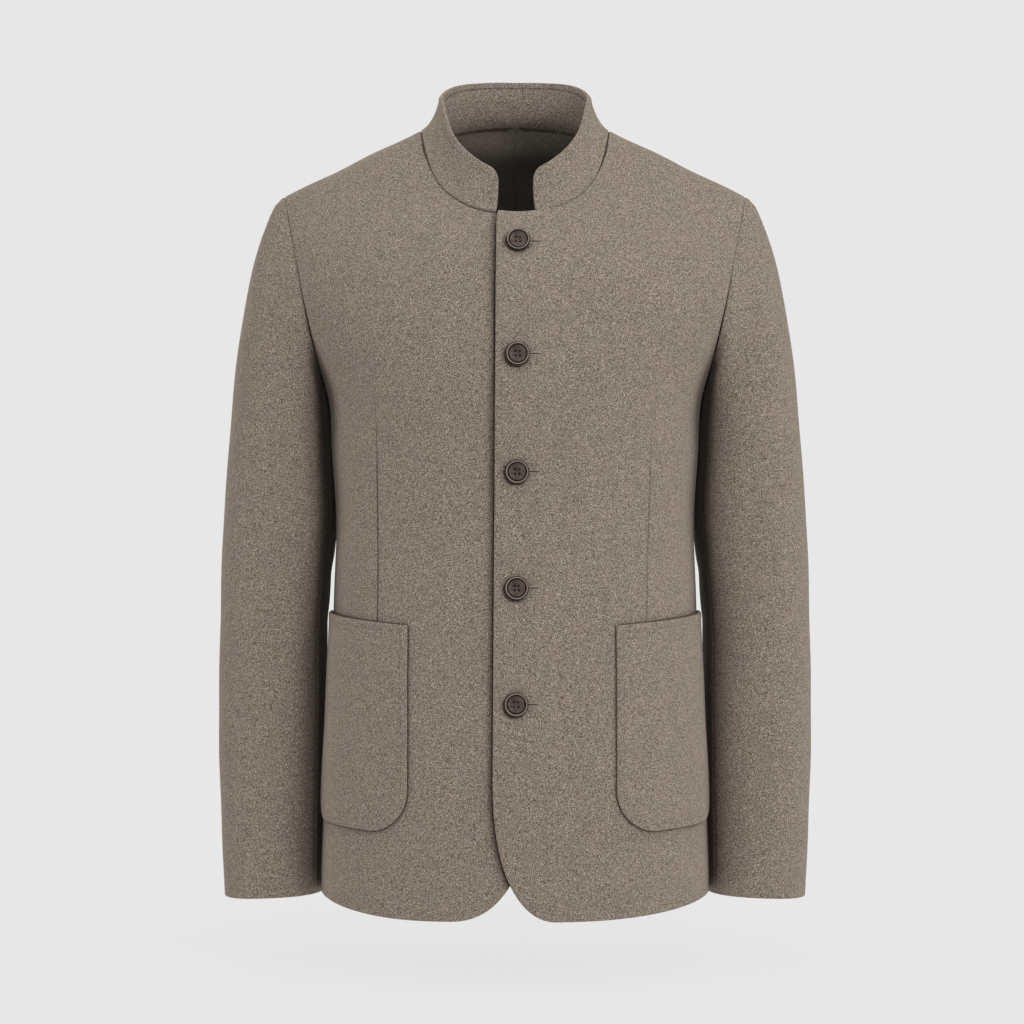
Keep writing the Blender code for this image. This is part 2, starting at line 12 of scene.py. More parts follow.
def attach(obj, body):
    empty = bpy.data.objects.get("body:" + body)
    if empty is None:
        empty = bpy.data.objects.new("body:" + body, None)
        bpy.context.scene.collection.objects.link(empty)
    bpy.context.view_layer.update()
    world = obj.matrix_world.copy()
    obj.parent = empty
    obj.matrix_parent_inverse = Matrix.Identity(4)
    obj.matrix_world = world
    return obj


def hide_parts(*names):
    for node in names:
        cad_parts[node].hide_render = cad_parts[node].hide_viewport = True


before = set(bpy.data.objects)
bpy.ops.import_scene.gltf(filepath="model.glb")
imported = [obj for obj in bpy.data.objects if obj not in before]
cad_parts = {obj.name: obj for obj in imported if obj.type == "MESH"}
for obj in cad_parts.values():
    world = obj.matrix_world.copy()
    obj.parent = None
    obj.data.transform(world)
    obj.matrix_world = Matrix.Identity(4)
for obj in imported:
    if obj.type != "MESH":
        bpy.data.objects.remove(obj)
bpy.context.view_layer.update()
scene = bpy.context.scene
print("frame loaded with", len(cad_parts), "nodes")

# Small helpers for shapes

def splineThrough(rows):
    # a natural cubic through the rows; the first column is the place along it
    table = np.array(rows, float)
    at = table[:, 0]
    values = table[:, 1:]
    steps = np.diff(at)
    count = len(at)
    equations = np.eye(count)
    bends = np.zeros_like(values)
    for i in range(1, count - 1):
        equations[i, i - 1 : i + 2] = steps[i - 1], 2 * (steps[i - 1] + steps[i]), steps[i]
        rise = (values[i + 1] - values[i]) / steps[i]
        bends[i] = 6 * (rise - (values[i] - values[i - 1]) / steps[i - 1])
    bends = np.linalg.solve(equations, bends)

    def value(place):
        place = np.asarray(place, float)
        k = np.clip(np.searchsorted(at, place) - 1, 0, count - 2)
        step = steps[k][..., None]
        ahead = (at[k + 1] - place)[..., None]
        past = (place - at[k])[..., None]
        curve = (bends[k] * ahead**3 + bends[k + 1] * past**3) / (6 * step)
        start = (values[k] / step - bends[k] * step / 6) * ahead
        end = (values[k + 1] / step - bends[k + 1] * step / 6) * past
        return curve + start + end

    return value


def ease(share):
    share = np.clip(share, 0, 1)
    return share * share * (3 - 2 * share)


def between(first, second, share):
    return first + (second - first) * share


def rising(value, begin, end):
    # an eased climb from 0 to 1 as the value goes from begin to end
    return ease((value - begin) / (end - begin))


def unit(vectors):
    return vectors / np.maximum(np.linalg.norm(vectors, axis=-1, keepdims=True), 1e-12)


def stacked(*values):
    return np.stack(np.broadcast_arrays(*values), -1)


def lengthsAlong(points):
    # how far each point is from the first, along the line
    steps = np.linalg.norm(np.diff(points, axis=0), axis=1)
    return np.concatenate([[0.0], np.cumsum(steps)])


def readOff(at, places, table):
    # every column of a table, read off between its rows
    return np.stack([np.interp(at, places, column) for column in table.T], -1)


def linked(name, data):
    item = bpy.data.objects.new(name, data)
    scene.collection.objects.link(item)
    return item


def fromWork(name, work, *looks):
    mesh = bpy.data.meshes.new(name)
    work.to_mesh(mesh)
    work.free()
    for look in looks:
        mesh.materials.append(look)
    return linked(name, mesh)


def newPiece(name, verts, faces, looks):
    mesh = bpy.data.meshes.new(name)
    mesh.from_pydata(verts.tolist(), [], faces)
    for look in looks:
        mesh.materials.append(look)
    mesh.shade_smooth()
    mesh.update()
    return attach(linked(name, mesh), "root")


def writeMarks(mesh, name, marks):
    mesh.attributes.new(name, "FLOAT_VECTOR", "POINT")
    mesh.attributes[name].data.foreach_set("vector", marks.astype(np.float32).ravel())


# The filled-out body that the panels lie on

body = {
    "squareness": 2.3,
    "shoulderRound": {"front": 0.147, "back": 0.045},
    "neckHalfWidth": 0.0905,
    "neckFront": 0.0830,
    "neckBack": 0.0740,
    "neckFullness": 0.12,
    "neckCrown": 0.060,
    "shoulderTip": (0.2213, -0.0630),
    "underarm": (0.1815, -0.2500),
    "hemFront": -0.7395,
    "hemSide": -0.7280,
    "heightPasses": 12,
    "halvings": 48,
    # height, half width, side y, front y, back y
    "rows": (
        (-0.7600, 0.1868, 0.006, -0.1400, 0.1190),
        (-0.6200, 0.1824, 0.006, -0.1410, 0.1180),
        (-0.4700, 0.1745, 0.008, -0.1340, 0.1040),
        (-0.4000, 0.1722, 0.009, -0.1290, 0.1000),
        (-0.3500, 0.1726, 0.010, -0.1280, 0.1040),
        (-0.3000, 0.1764, 0.012, -0.1310, 0.1140),
        (-0.2500, 0.1815, 0.015, -0.1350, 0.1240),
        (-0.1900, 0.2120, 0.012, -0.1290, 0.1290),
        (-0.1200, 0.2320, 0.007, -0.1050, 0.1260),
        (-0.0600, 0.2430, 0.003, -0.0690, 0.1160),
        (0.0000, 0.2500, 0.000, -0.0500, 0.1070),
        (0.0500, 0.2540, 0.000, -0.0400, 0.1040),
    ),
}
torsoSizes = splineThrough(body["rows"])
shoulderSlope = -body["shoulderTip"][1] / (body["shoulderTip"][0] - body["neckHalfWidth"])
quarterTurn = np.pi / 2
shares = np.linspace(0, 1, 500)  # along each line that is drawn on the body
tinyStep = 1e-4  # for slopes, in metres
smallTurn = 1e-3  # for slopes, in radians
sideways = np.array([1.0, 0.0, 0.0])
upright = np.array([0.0, 0.0, 1.0])


def ridgeHeight(across):
    # the shoulder line, rounded off to a crown inside the neck
    away = np.abs(across)
    halfWidth = body["neckHalfWidth"]
    crownAt = body["neckCrown"]
    line = (halfWidth - away) * shoulderSlope
    crown = (halfWidth - crownAt) * shoulderSlope
    crown = crown + (crownAt**2 - away**2) * shoulderSlope / (2 * crownAt)
    return np.where(away > crownAt, line, crown)


def depthAt(across, height, side):
    # how far forward or back the body is at a place on it
    halfWidth, sideY, frontY, backY = np.moveaxis(torsoSizes(height), -1, 0)
    n = body["squareness"]
    share = np.clip(np.abs(across) / halfWidth, 0, 1)
    deep = (1 - share**n) ** (1 / n)
    fall = np.clip((ridgeHeight(across) - height) / body["shoulderRound"][side], 0, 1)
    deep = deep * np.sqrt(1 - (1 - fall) ** 2)
    return between(sideY, frontY if side == "front" else backY, deep)


def bodyPlace(across, height, side):
    # a body point as its angle round the trunk and its drop below the shoulder line
    across, height = np.broadcast_arrays(np.asarray(across, float), np.asarray(height, float))
    n = body["squareness"]
    share = np.clip(across / torsoSizes(height)[..., 0], -1, 1)
    angle = np.arctan2(share, (1 - np.abs(share) ** n) ** (1 / n))
    fall = np.maximum((ridgeHeight(across) - height) / body["shoulderRound"][side], 0)
    drop = np.where(fall < 1, np.arccos(np.clip(1 - fall, -1, 1)), quarterTurn + fall - 1)
    return stacked(angle, drop)


def bodyPoint(place, side):
    angle = place[..., 0]
    drop = place[..., 1]
    n = body["squareness"]
    reach = (np.abs(np.cos(angle)) ** n + np.abs(np.sin(angle)) ** n) ** (-1 / n)
    share = reach * np.sin(angle)
    short = np.minimum(drop, quarterTurn)
    fall = 1 - np.cos(short) + np.maximum(drop - quarterTurn, 0)
    height = np.full(np.shape(fall), body["underarm"][1])
    for turn in range(body["heightPasses"]):
        across = torsoSizes(height)[..., 0] * share
        height = ridgeHeight(across) - body["shoulderRound"][side] * fall
    halfWidth, sideY, frontY, backY = np.moveaxis(torsoSizes(height), -1, 0)
    deep = reach * np.cos(angle) * np.sin(short)
    y = between(sideY, frontY if side == "front" else backY, deep)
    return stacked(halfWidth * share, y, height)


def slopes(place, spot, step=tinyStep):
    # the two ways along a surface
    first = place(spot + (step, 0)) - place(spot - (step, 0))
    second = place(spot + (0, step)) - place(spot - (0, step))
    return first / (2 * step), second / (2 * step)


def bodyNormal(place, side):
    first, second = slopes(lambda spot: bodyPoint(spot, side), place)
    out = unit(np.cross(second, first))
    return out if side == "front" else -out


def bodyHeight(across, wantedY):
    # how high the body is over a place seen from above
    low = np.full(np.shape(across), body["underarm"][1])
    high = ridgeHeight(across)
    for turn in range(body["halvings"]):
        middle = (low + high) / 2
        shallow = np.where(
            wantedY < 0,
            depthAt(across, middle, "front") > wantedY,
            depthAt(across, middle, "back") < wantedY,
        )
        high = np.where(shallow, middle, high)
        low = np.where(shallow, low, middle)
    return (low + high) / 2


def neckPoint(around):
    # the neckline is an oval seen from above, fuller in front, laid on the body
    across = body["neckHalfWidth"] * np.sin(around)
    front = body["neckFront"] * (1 + body["neckFullness"] * np.sin(around) ** 2)
    y = -np.cos(around) * np.where(np.cos(around) >= 0, front, body["neckBack"])
    return stacked(across, y, bodyHeight(across, y))


def trunkTurn(across, height):
    share = np.clip(np.abs(across) / torsoSizes(height)[..., 0], 0, 1)
    return np.sign(across) * np.arcsin(share ** (body["squareness"] / 2))


def trunkAcross(turn, height):
    return torsoSizes(height)[..., 0] * np.sin(turn) ** (2 / body["squareness"])


def armholeHeight(share):
    return between(body["underarm"][1], body["shoulderTip"][1], (1 - np.cos(np.pi * share)) / 2)


def armholeAcross(height):
    tip = body["shoulderTip"]
    low = body["underarm"]
    return between(low[0], tip[0], (height - low[1]) / (tip[1] - low[1]))


# Cloth pieces: rings follow the edge, a smooth grid fills the middle, and both walls meet in a rolled rim

cloth = {
    "thick": 0.0022,
    "seamInset": -0.00012,
    "edgeRoll": 0.0016,
    "seamRoll": 0.0009,
    "edgeThick": 0.0034,
    "edgeWide": 0.012,
    "rings": (0.0, 0.0002, 0.0005, 0.0009, 0.0014, 0.0022, 0.0034, 0.0048, 0.0065, 0.0090),
    "stitchRing": 8,
    "seamDip": 0.0005,
    "seamSpread": 0.0013,
    "weltRise": 0.00022,
    "swayHeight": 0.00045,
    # share of the height, then two waves: rates along x, y and z, and a shift
    "swayWaves": (
        (1.0, (61, 0, 23, 1.3), (-19, 31, 47, 0.0)),
        (0.7, (97, -41, 0, 0.4), (0, 0, 33, 2.1)),
    ),
    "facing": 0.034,
    "settlePasses": 260,
    "batch": 1500,
    "edgeReach": 0.05,
    "weltWide": 0.0065,
    # share of the way to the middle at which an edge is measured
    "edgePeek": 0.004,
    # how alike the ways in from two edges are: the least for a mitre, and where a corner begins
    "mitreLeast": -0.65,
    "cornerBelow": 0.94,
    "foldPoints": 40,
    "foldTaper": 0.7,
    "foldEnds": (0.02, 0.98),
    # darkness at the top of a dart, and how fast it grows
    "dartFade": (0.10, 2.4),
}


def evenly(place, line, count):
    # points along a line, evenly spaced as measured on the cloth
    lengths = lengthsAlong(place(line))
    return readOff(np.linspace(0, lengths[-1], count + 1), lengths, line)


def nearest(points, line):
    # distance from each point to a line, and which of its points is the nearest
    far = np.empty(len(points))
    which = np.empty(len(points), int)
    for start in range(0, len(points), cloth["batch"]):
        part = slice(start, start + cloth["batch"])
        gaps = ((points[part, None, :] - line[None, :, :]) ** 2).sum(axis=2)
        which[part] = gaps.argmin(axis=1)
        far[part] = np.sqrt(gaps.min(axis=1))
    return far, which


def sway(points):
    # slow unevenness that neighbouring pieces share
    waves = 0.0
    for high, *pair in cloth["swayWaves"]:
        first, second = (np.sin(points @ np.array(rates, float) + shift) for *rates, shift in pair)
        waves = waves + high * first * second
    return cloth["swayHeight"] * waves


def fillGrid(low, high, left, right):
    u = np.linspace(0, 1, len(low))[None, :, None]
    v = np.linspace(0, 1, len(left))[:, None, None]
    ends = (1 - v) * ((1 - u) * low[0] + u * low[-1]) + v * ((1 - u) * high[0] + u * high[-1])
    return (1 - v) * low + v * high + (1 - u) * left[:, None] + u * right[:, None] - ends


def settle(grid, sizes):
    # evens out a grid so that its lines don't cross
    grid = grid * sizes
    for turn in range(cloth["settlePasses"]):
        aside = (grid[1:-1, 2:] - grid[1:-1, :-2]) / 2
        up = (grid[2:, 1:-1] - grid[:-2, 1:-1]) / 2
        twist = (grid[2:, 2:] - grid[2:, :-2] - grid[:-2, 2:] + grid[:-2, :-2]) / 4
        a = (up * up).sum(axis=2, keepdims=True)
        b = (aside * up).sum(axis=2, keepdims=True)
        c = (aside * aside).sum(axis=2, keepdims=True)
        pull = a * (grid[1:-1, 2:] + grid[1:-1, :-2]) + c * (grid[2:, 1:-1] + grid[:-2, 1:-1])
        grid[1:-1, 1:-1] = (pull - 2 * b * twist) / (2 * (a + c))
    return grid / sizes


def clothPanel(name, node, place, stretches, columns, rows, looks, split=None, thick=None, edgeThick=None,
               mirrored=False, folds=(), dart=None, lined=True, ringsAt=None, lineWithin=0.0):
    # stretches run round the piece from its low left corner: line, count, kind of edge
    thick = thick or cloth["thick"]
    edgeThick = max(thick, edgeThick or cloth["edgeThick"])
    loop = np.concatenate([evenly(place, line, count)[:-1] for line, count, kind in stretches])
    kinds = np.concatenate([[kind] * count for line, count, kind in stretches])
    around = len(loop)
    assert around == 2 * (columns + rows), (name, around, columns, rows)
    middle = loop.mean(axis=0)
    first, second = slopes(place, loop + (middle - loop) * cloth["edgePeek"])
    out = unit(np.cross(first, second))
    after = np.roll(loop, -1, axis=0)
    if (loop[:, 0] * after[:, 1] - loop[:, 1] * after[:, 0]).sum() < 0:
        out = -out
    points = place(loop)
    ahead = unit(np.roll(points, -1, axis=0) - points)
    inAhead = unit(np.cross(out, ahead))
    inBehind = np.roll(ahead, 1, axis=0)
    leftTurn = (np.cross(inBehind, ahead) * out).sum(axis=1) > 0
    inBehind = unit(np.cross(out, inBehind))
    ways = stacked(first, second)
    square = np.einsum("kij,kil->kjl", ways, ways)

    def onDomain(moves):
        return np.linalg.solve(square, np.einsum("kij,ki->kj", ways, moves)[..., None])[..., 0]

    bent = np.maximum((inAhead * inBehind).sum(axis=1), cloth["mitreLeast"])
    mitre = onDomain((inAhead + inBehind) / (1 + bent)[:, None])
    fromStart = onDomain(inAhead)
    fromEnd = onDomain(inBehind)
    sewnOn = (kinds == "seam") | (kinds == "faced")
    seams = sewnOn | np.roll(sewnOn, 1)
    loop = loop + mitre * (cloth["seamInset"] * seams)[:, None]

    # each ring keeps its distance from the edge and is trimmed where two edges meet
    far = np.array(ringsAt or cloth["rings"])
    rings = np.empty((len(far), around, 2))
    starts = np.cumsum([0] + [count for line, count, kind in stretches])[:-1]
    corners = [int(start) for start in starts if bent[start] < cloth["cornerBelow"]]
    trims = np.sqrt((1 - bent) / (1 + bent)) * np.where(leftTurn, 1, -1)
    for begin, end in zip(corners, corners[1:] + [corners[0] + around]):
        index = np.arange(begin, end + 1) % around
        lateral = mitre[index]
        lateral[0] = fromStart[index[0]]
        lateral[-1] = fromEnd[index[-1]]
        lengths = lengthsAlong(points[index])
        for ring, away in enumerate(far):
            cut = away * trims[index[0]]
            room = lengths[-1] - cut - away * trims[index[-1]]
            at = cut + lengths / lengths[-1] * room
            rings[ring, index] = readOff(at, lengths, loop[index]) + away * readOff(at, lengths, lateral)
    rings[:, corners] = loop[corners] + far[:, None, None] * mitre[corners]

    # the grid inside the last ring
    inner = rings[-1]
    low = inner[: columns + 1]
    right = inner[columns : columns + rows + 1]
    top = inner[columns + rows : 2 * columns + rows + 1][::-1]
    left = np.concatenate([inner[2 * columns + rows :], inner[:1]])[::-1]
    grid = np.empty((rows + 1, columns + 1, 2))
    cuts = [0, rows] if split is None else [0, split, rows]
    across = np.linspace(0, 1, columns + 1)[:, None]
    for begin, end in zip(cuts, cuts[1:]):
        lowLine = low if begin == 0 else between(left[begin], right[begin], across)
        highLine = top if end == rows else between(left[end], right[end], across)
        part = slice(begin, end + 1)
        grid[part] = fillGrid(lowLine, highLine, left[part], right[part])
    grid = settle(grid, np.array([np.linalg.norm(way, axis=1).mean() for way in (first, second)]))
    spots = np.concatenate([rings.reshape(-1, 2), grid[1:-1, 1:-1].reshape(-1, 2)])
    base = place(spots)

    count = len(far) * around
    ids = np.empty((rows + 1, columns + 1), int)
    last = count - around
    ids[0] = last + np.arange(columns + 1)
    ids[:, columns] = last + columns + np.arange(rows + 1)
    ids[rows, ::-1] = last + columns + rows + np.arange(columns + 1)
    ids[::-1, 0] = last + (2 * columns + rows + np.arange(rows + 1)) % around
    ids[1:-1, 1:-1] = count + np.arange((rows - 1) * (columns - 1)).reshape(rows - 1, columns - 1)
    ringIds = np.arange(count).reshape(-1, around)
    ringIds = np.concatenate([ringIds, ringIds[:, :1]], axis=1)
    quads = [
        stacked(net[:-1, :-1], net[:-1, 1:], net[1:, 1:], net[1:, :-1]).reshape(-1, 4)
        for net in (ringIds, ids)
    ]
    faces = np.concatenate(quads)

    def pointNormals(points):
        corners = points[faces]
        facing = np.cross(corners[:, 2] - corners[:, 0], corners[:, 3] - corners[:, 1])
        total = np.zeros_like(points)
        for corner in range(4):
            np.add.at(total, faces[:, corner], facing)
        return unit(total), np.linalg.norm(facing, axis=1).sum() / 2

    normals, area = pointNormals(base)
    rowPoints = base[ids]
    if (normals[ids] * (rowPoints - rowPoints.mean(axis=1, keepdims=True))).sum() < 0:
        faces = faces[:, ::-1]
        normals = -normals

    edge = np.full(len(base), 1.0)
    edge[:count] = np.repeat(far, around)
    bySeam = np.zeros(len(base))
    bySeam[:count] = np.tile(seams, len(far))

    def edgeDistance(wanted):
        if not wanted.any():
            return np.full(len(base), cloth["edgeReach"])
        line = points[wanted | np.roll(wanted, 1)]
        halfway = (points + np.roll(points, -1, axis=0))[wanted] / 2
        return np.minimum(nearest(base, np.concatenate([line, halfway]))[0], cloth["edgeReach"])

    # relief: rolled rim, sunk seams, welts beside the stitches, soft creases
    stitched = kinds == "stitched"
    sewn = edgeDistance(stitched)
    openEdge = edgeDistance(~sewnOn)
    rollWide = np.where(bySeam > 0, cloth["seamRoll"], cloth["edgeRoll"])
    roll = 1 - np.sqrt(1 - (1 - np.clip(edge / rollWide, 0, 1)) ** 2)
    relief = sway(base) - cloth["seamDip"] * bySeam * np.exp(-((edge / cloth["seamSpread"]) ** 2))
    relief = relief + cloth["weltRise"] * np.sin(np.pi * np.clip(sewn / cloth["weltWide"], 0, 1))
    lastPoint = cloth["foldPoints"] - 1
    for start, end, bend, width, deep in folds:
        t = np.linspace(0, 1, cloth["foldPoints"])[:, None]
        run = between(np.array(start), np.array(end), t) + np.array(bend) * 4 * t * (1 - t)
        gap, which = nearest(base, place(run))
        taper = np.sin(np.pi * np.clip(which / lastPoint, *cloth["foldEnds"])) ** cloth["foldTaper"]
        relief = relief - deep * taper * np.exp(-((gap / width) ** 2))

    # marks for the wool: distance from the stitched edge, distance from the dart, its darkness
    marks = np.zeros((len(base), 3))
    marks[:, 0] = sewn
    marks[:, 1] = 1.0
    if dart is not None:
        spotsOn, strength = dart
        run = place(spotsOn)
        gap, which = nearest(base, run)
        ahead = np.gradient(run, axis=0)[which]
        aside = np.cross(ahead, normals)
        last = len(run) - 1
        marks[:, 1] = ((base - run[which]) * unit(aside)).sum(axis=1)
        least, rate = cloth["dartFade"]
        marks[:, 2] = strength * np.clip(least + rate * which / last, 0, 1)
        ends = (which == 0) | (which == last)
        marks[ends, 1] = np.sign(marks[ends, 1] + 1e-9) * np.maximum(np.abs(marks[ends, 1]), gap[ends])

    # both walls, which share the outermost ring
    deep = between(thick, edgeThick, rising(sewn, cloth["edgeWide"], cloth["edgeWide"] / 2))
    outer = base + normals * (relief - roll * deep / 2)[:, None]
    within = base + normals * (relief - deep + roll * deep / 2)[:, None]
    total = len(base)
    below = np.where(np.arange(total) < around, np.arange(total), np.arange(total) + total - around)
    verts = np.concatenate([outer, within[around:]])
    allFaces = np.concatenate([faces, below[faces[:, ::-1]]])
    marks = np.concatenate([marks, marks[around:]])
    if lineWithin:
        # a sewing line on the inside only
        marks[total:, 1] = sewn[around:] - wool["stitchAt"]
        marks[total:, 2] = lineWithin
    facing = pointNormals(outer)[0]
    normals = facing if (facing * normals).sum() > 0 else -facing
    if mirrored:
        flip = np.array([-1.0, 1.0, 1.0])
        verts = verts * flip
        normals = normals * flip
        outer = outer * flip
        within = within * flip
        allFaces = allFaces[:, ::-1]
    piece = newPiece(name, verts, allFaces.tolist(), looks)
    kind = np.zeros(len(allFaces), np.int32)
    if lined:
        # inside, cloth turned in at the open edges and the neck, lining elsewhere
        inside = openEdge[faces].mean(axis=1) > cloth["facing"]
        inside[: len(quads[0])] &= np.tile(kinds == "seam", len(far) - 1)
        kind[len(faces) :] = inside
    piece.data.polygons.foreach_set("material_index", kind)
    writeMarks(piece.data, "sewing", marks)
    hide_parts(node)

    steps = np.linalg.norm(np.diff(rowPoints, axis=1), axis=2).sum(axis=1)
    climbs = np.linalg.norm(np.diff(rowPoints, axis=0), axis=2).sum(axis=0)
    flat = [round(float(size.max() + 2 * far[-1]), 3) for size in (steps, climbs)]
    run = []
    if stitched.any():
        first = [i for i in range(around) if stitched[i] and not stitched[i - 1]]
        begin = first[0] if first else 0
        run = [(begin + i) % around for i in range(int(stitched.sum()) + 1)]
    run = np.array(run, int)
    ring = cloth["stitchRing"] * around + run
    print("cloth", name, len(allFaces), "faces, flat", flat, "area", round(float(area), 4))
    return {
        "piece": piece,
        "flat": flat,
        "area": min(round(float(area), 4), flat[0] * flat[1]),
        "points": outer,
        "normals": normals,
        "faces": faces,
        "rim": outer[run],
        "path": outer[ring],
        "pathWithin": within[ring],
        "pathOut": normals[ring],
    }


# Threads: many small rounded bars in one mesh

bar = {
    # places along half a bar's length, and how fat it is there
    "along": (-1.0, -0.86, -0.5, 0.0, 0.5, 0.86, 1.0),
    "fat": (0.30, 0.72, 0.97, 1.0, 0.97, 0.72, 0.30),
    "facets": 8,
}


def threadBars(name, centres, alongs, outs, length, width, height, look, bow=0.0):
    along = np.array(bar["along"])
    fat = np.array(bar["fat"])
    facets = bar["facets"]
    spin = np.arange(facets) * 2 * np.pi / facets
    alongs = unit(alongs)
    outs = unit(outs - alongs * (outs * alongs).sum(axis=1, keepdims=True))
    asides = np.cross(outs, alongs)
    shape = stacked(
        along[:, None] * length / 2,
        fat[:, None] * np.cos(spin) * width / 2,
        fat[:, None] * np.sin(spin) * height / 2 - bow * along[:, None] ** 2,
    ).reshape(-1, 3)
    axes = np.stack([alongs, asides, outs], 1)
    verts = centres[:, None] + np.einsum("vk,nkc->nvc", shape, axes)
    size = len(shape)
    faces = []
    for ring in range(0, size - facets, facets):
        for s in range(facets):
            t = (s + 1) % facets
            faces.append((ring + s, ring + t, ring + facets + t, ring + facets + s))
    ends = [tuple(range(facets))[::-1], tuple(range(size - facets, size))]
    allFaces = []
    for n in range(len(centres)):
        allFaces += [tuple(v + n * size for v in face) for face in faces + ends]
    return newPiece(name, verts.reshape(-1, 3), allFaces, (look,))


stitch = {
    "pitch": 0.0030,
    "length": 0.0022,
    "width": 0.00042,
    "height": 0.0003,
    "up": 0.00001,
    "bow": 0.0002,
    "lookAhead": 5e-4,
}


def topstitch(panel, name, look, within=False):
    # a run of stitches one thread deep, along the panel's stitched edges
    path = panel["pathWithin" if within else "path"]
    lengths = lengthsAlong(path)
    at = np.arange(stitch["pitch"] / 2, lengths[-1], stitch["pitch"])
    outs = unit(readOff(at, lengths, panel["pathOut"])) * (-1 if within else 1)
    centres = readOff(at, lengths, path) + outs * stitch["up"]
    step = stitch["lookAhead"]
    ahead = readOff(at + step, lengths, path) - readOff(at - step, lengths, path)
    made = threadBars(name, centres, ahead, outs, stitch["length"], stitch["width"], stitch["height"], look,
                      stitch["bow"])
    return made


# Materials

class Amount:
    # a socket that takes part in sums; each step adds a Math node
    def __init__(self, look, socket):
        self.look = look
        self.socket = socket

    def step(self, operation, *values):
        node = self.look.add("ShaderNodeMath", {"operation": operation}, dict(enumerate(values)))
        return Amount(self.look, node.outputs[0])

    def __add__(self, other):
        return self.step("ADD", self, other)

    def __radd__(self, other):
        return self.step("ADD", other, self)

    def __sub__(self, other):
        return self.step("SUBTRACT", self, other)

    def __rsub__(self, other):
        return self.step("SUBTRACT", other, self)

    def __mul__(self, other):
        return self.step("MULTIPLY", self, other)

    def __rmul__(self, other):
        return self.step("MULTIPLY", other, self)

    def __truediv__(self, other):
        return self.step("DIVIDE", self, other)

    def __rtruediv__(self, other):
        return self.step("DIVIDE", other, self)

    def __pow__(self, other):
        return self.step("POWER", self, other)

    def __rpow__(self, other):
        return self.step("POWER", other, self)


class Look:
    def __init__(self, name, kind="materials", shader="Principled BSDF"):
        self.block = getattr(bpy.data, kind).new(name)
        self.block.use_nodes = True
        self.tree = self.block.node_tree
        self.shader = self.tree.nodes[shader]

    def add(self, kind, settings, inputs):
        node = self.tree.nodes.new(kind)
        for key, value in settings.items():
            setattr(node, key, value)
        self.fill(node, inputs)
        return node

    def fill(self, node, inputs):
        for key, value in inputs.items():
            if isinstance(value, Amount):
                value = value.socket
            if isinstance(value, bpy.types.NodeSocket):
                self.tree.links.new(value, node.inputs[key])
            else:
                node.inputs[key].default_value = value

    def amount(self, node, output):
        return Amount(self, node.outputs[output])

    def parts(self, vector):
        node = self.add("ShaderNodeSeparateXYZ", {}, {0: vector})
        return [self.amount(node, k) for k in range(3)]

    def marks(self, name):
        node = self.add("ShaderNodeAttribute", {"attribute_name": name}, {})
        return self.parts(node.outputs["Vector"])

    def done(self, inputs):
        self.fill(self.shader, inputs)
        return self.block

    def bell(self, value, width):
        # 1 where the value is nought, falling away on both sides
        return math.e ** (-1 * (value / width) ** 2.0)

    def clamp(self, value):
        return self.amount(self.add("ShaderNodeClamp", {}, {"Value": value}), 0)

    def ease(self, value):
        share = self.clamp(value)
        return share * share * (3.0 - 2.0 * share)

    def mix(self, share, first, second, blend="MIX"):
        settings = {"data_type": "RGBA", "blend_type": blend}
        return self.add("ShaderNodeMix", settings, {0: share, 6: first, 7: second}).outputs[2]

    def place(self, turn=(0, 0, 0), size=(1, 1, 1)):
        at = self.add("ShaderNodeTexCoord", {}, {}).outputs["Object"]
        inputs = {"Vector": at, "Rotation": turn, "Scale": size}
        return self.add("ShaderNodeMapping", {}, inputs).outputs[0]

    def noise(self, place, scale, detail=2.0, rough=0.5, curl=0.0):
        inputs = {"Vector": place, "Scale": scale, "Detail": detail, "Roughness": rough, "Distortion": curl}
        return self.amount(self.add("ShaderNodeTexNoise", {}, inputs), 0)

    def bump(self, height, distance, strength):
        inputs = {"Height": height, "Distance": distance, "Strength": strength}
        return self.add("ShaderNodeBump", {}, inputs).outputs[0]


wool = {
    "dark": (0.083, 0.064, 0.047, 1.0),
    "light": (0.430, 0.361, 0.298, 1.0),
    "warm": (1.015, 0.995, 0.975, 1.0),
    "cool": (0.985, 1.0, 1.015, 1.0),
    "grainSize": 0.00090,
    "grainCurl": 0.6,
    "grainContrast": 1.85,
    "grainPower": 1.4,
    "patchSize": 0.016,
    "patchShare": 0.07,
    "tintRate": 3.0,
    "napDepth": 0.0007,
    "napStrength": 0.45,
    "stitchAt": 0.0065,
    "stitchWide": 0.0008,
    "stitchDark": 0.08,
    "stitchDeep": 0.25,
    "dartWide": 0.0009,
    "dartDark": 0.80,
    "dartDeep": 0.9,
    # distance within which the painted shadow lines are drawn
    "shadowLineLimit": 0.05,
    # painted shadow lines: darkness and half width of the line, then of the soft band beside it
    "lap": (0.66, 0.0013, 0.46, 0.0056),
    "contactShadow": (0.58, 0.0011, 0.20, 0.0036),
    # the darkest colour, which the painted shade and the dark seam lines lead to
    "shade": (0.0025, 0.0018, 0.001, 1.0),
    "sheen": 0.30,
    "sheenRoughness": 0.55,
    "sheenTint": (0.86, 0.73, 0.61, 1.0),
    "roughness": 0.92,
    "specular": 0.12,
}


def woolGrain(look):
    return look.noise(look.place(), 1 / wool["grainSize"], 0.0, 0.5, wool["grainCurl"])


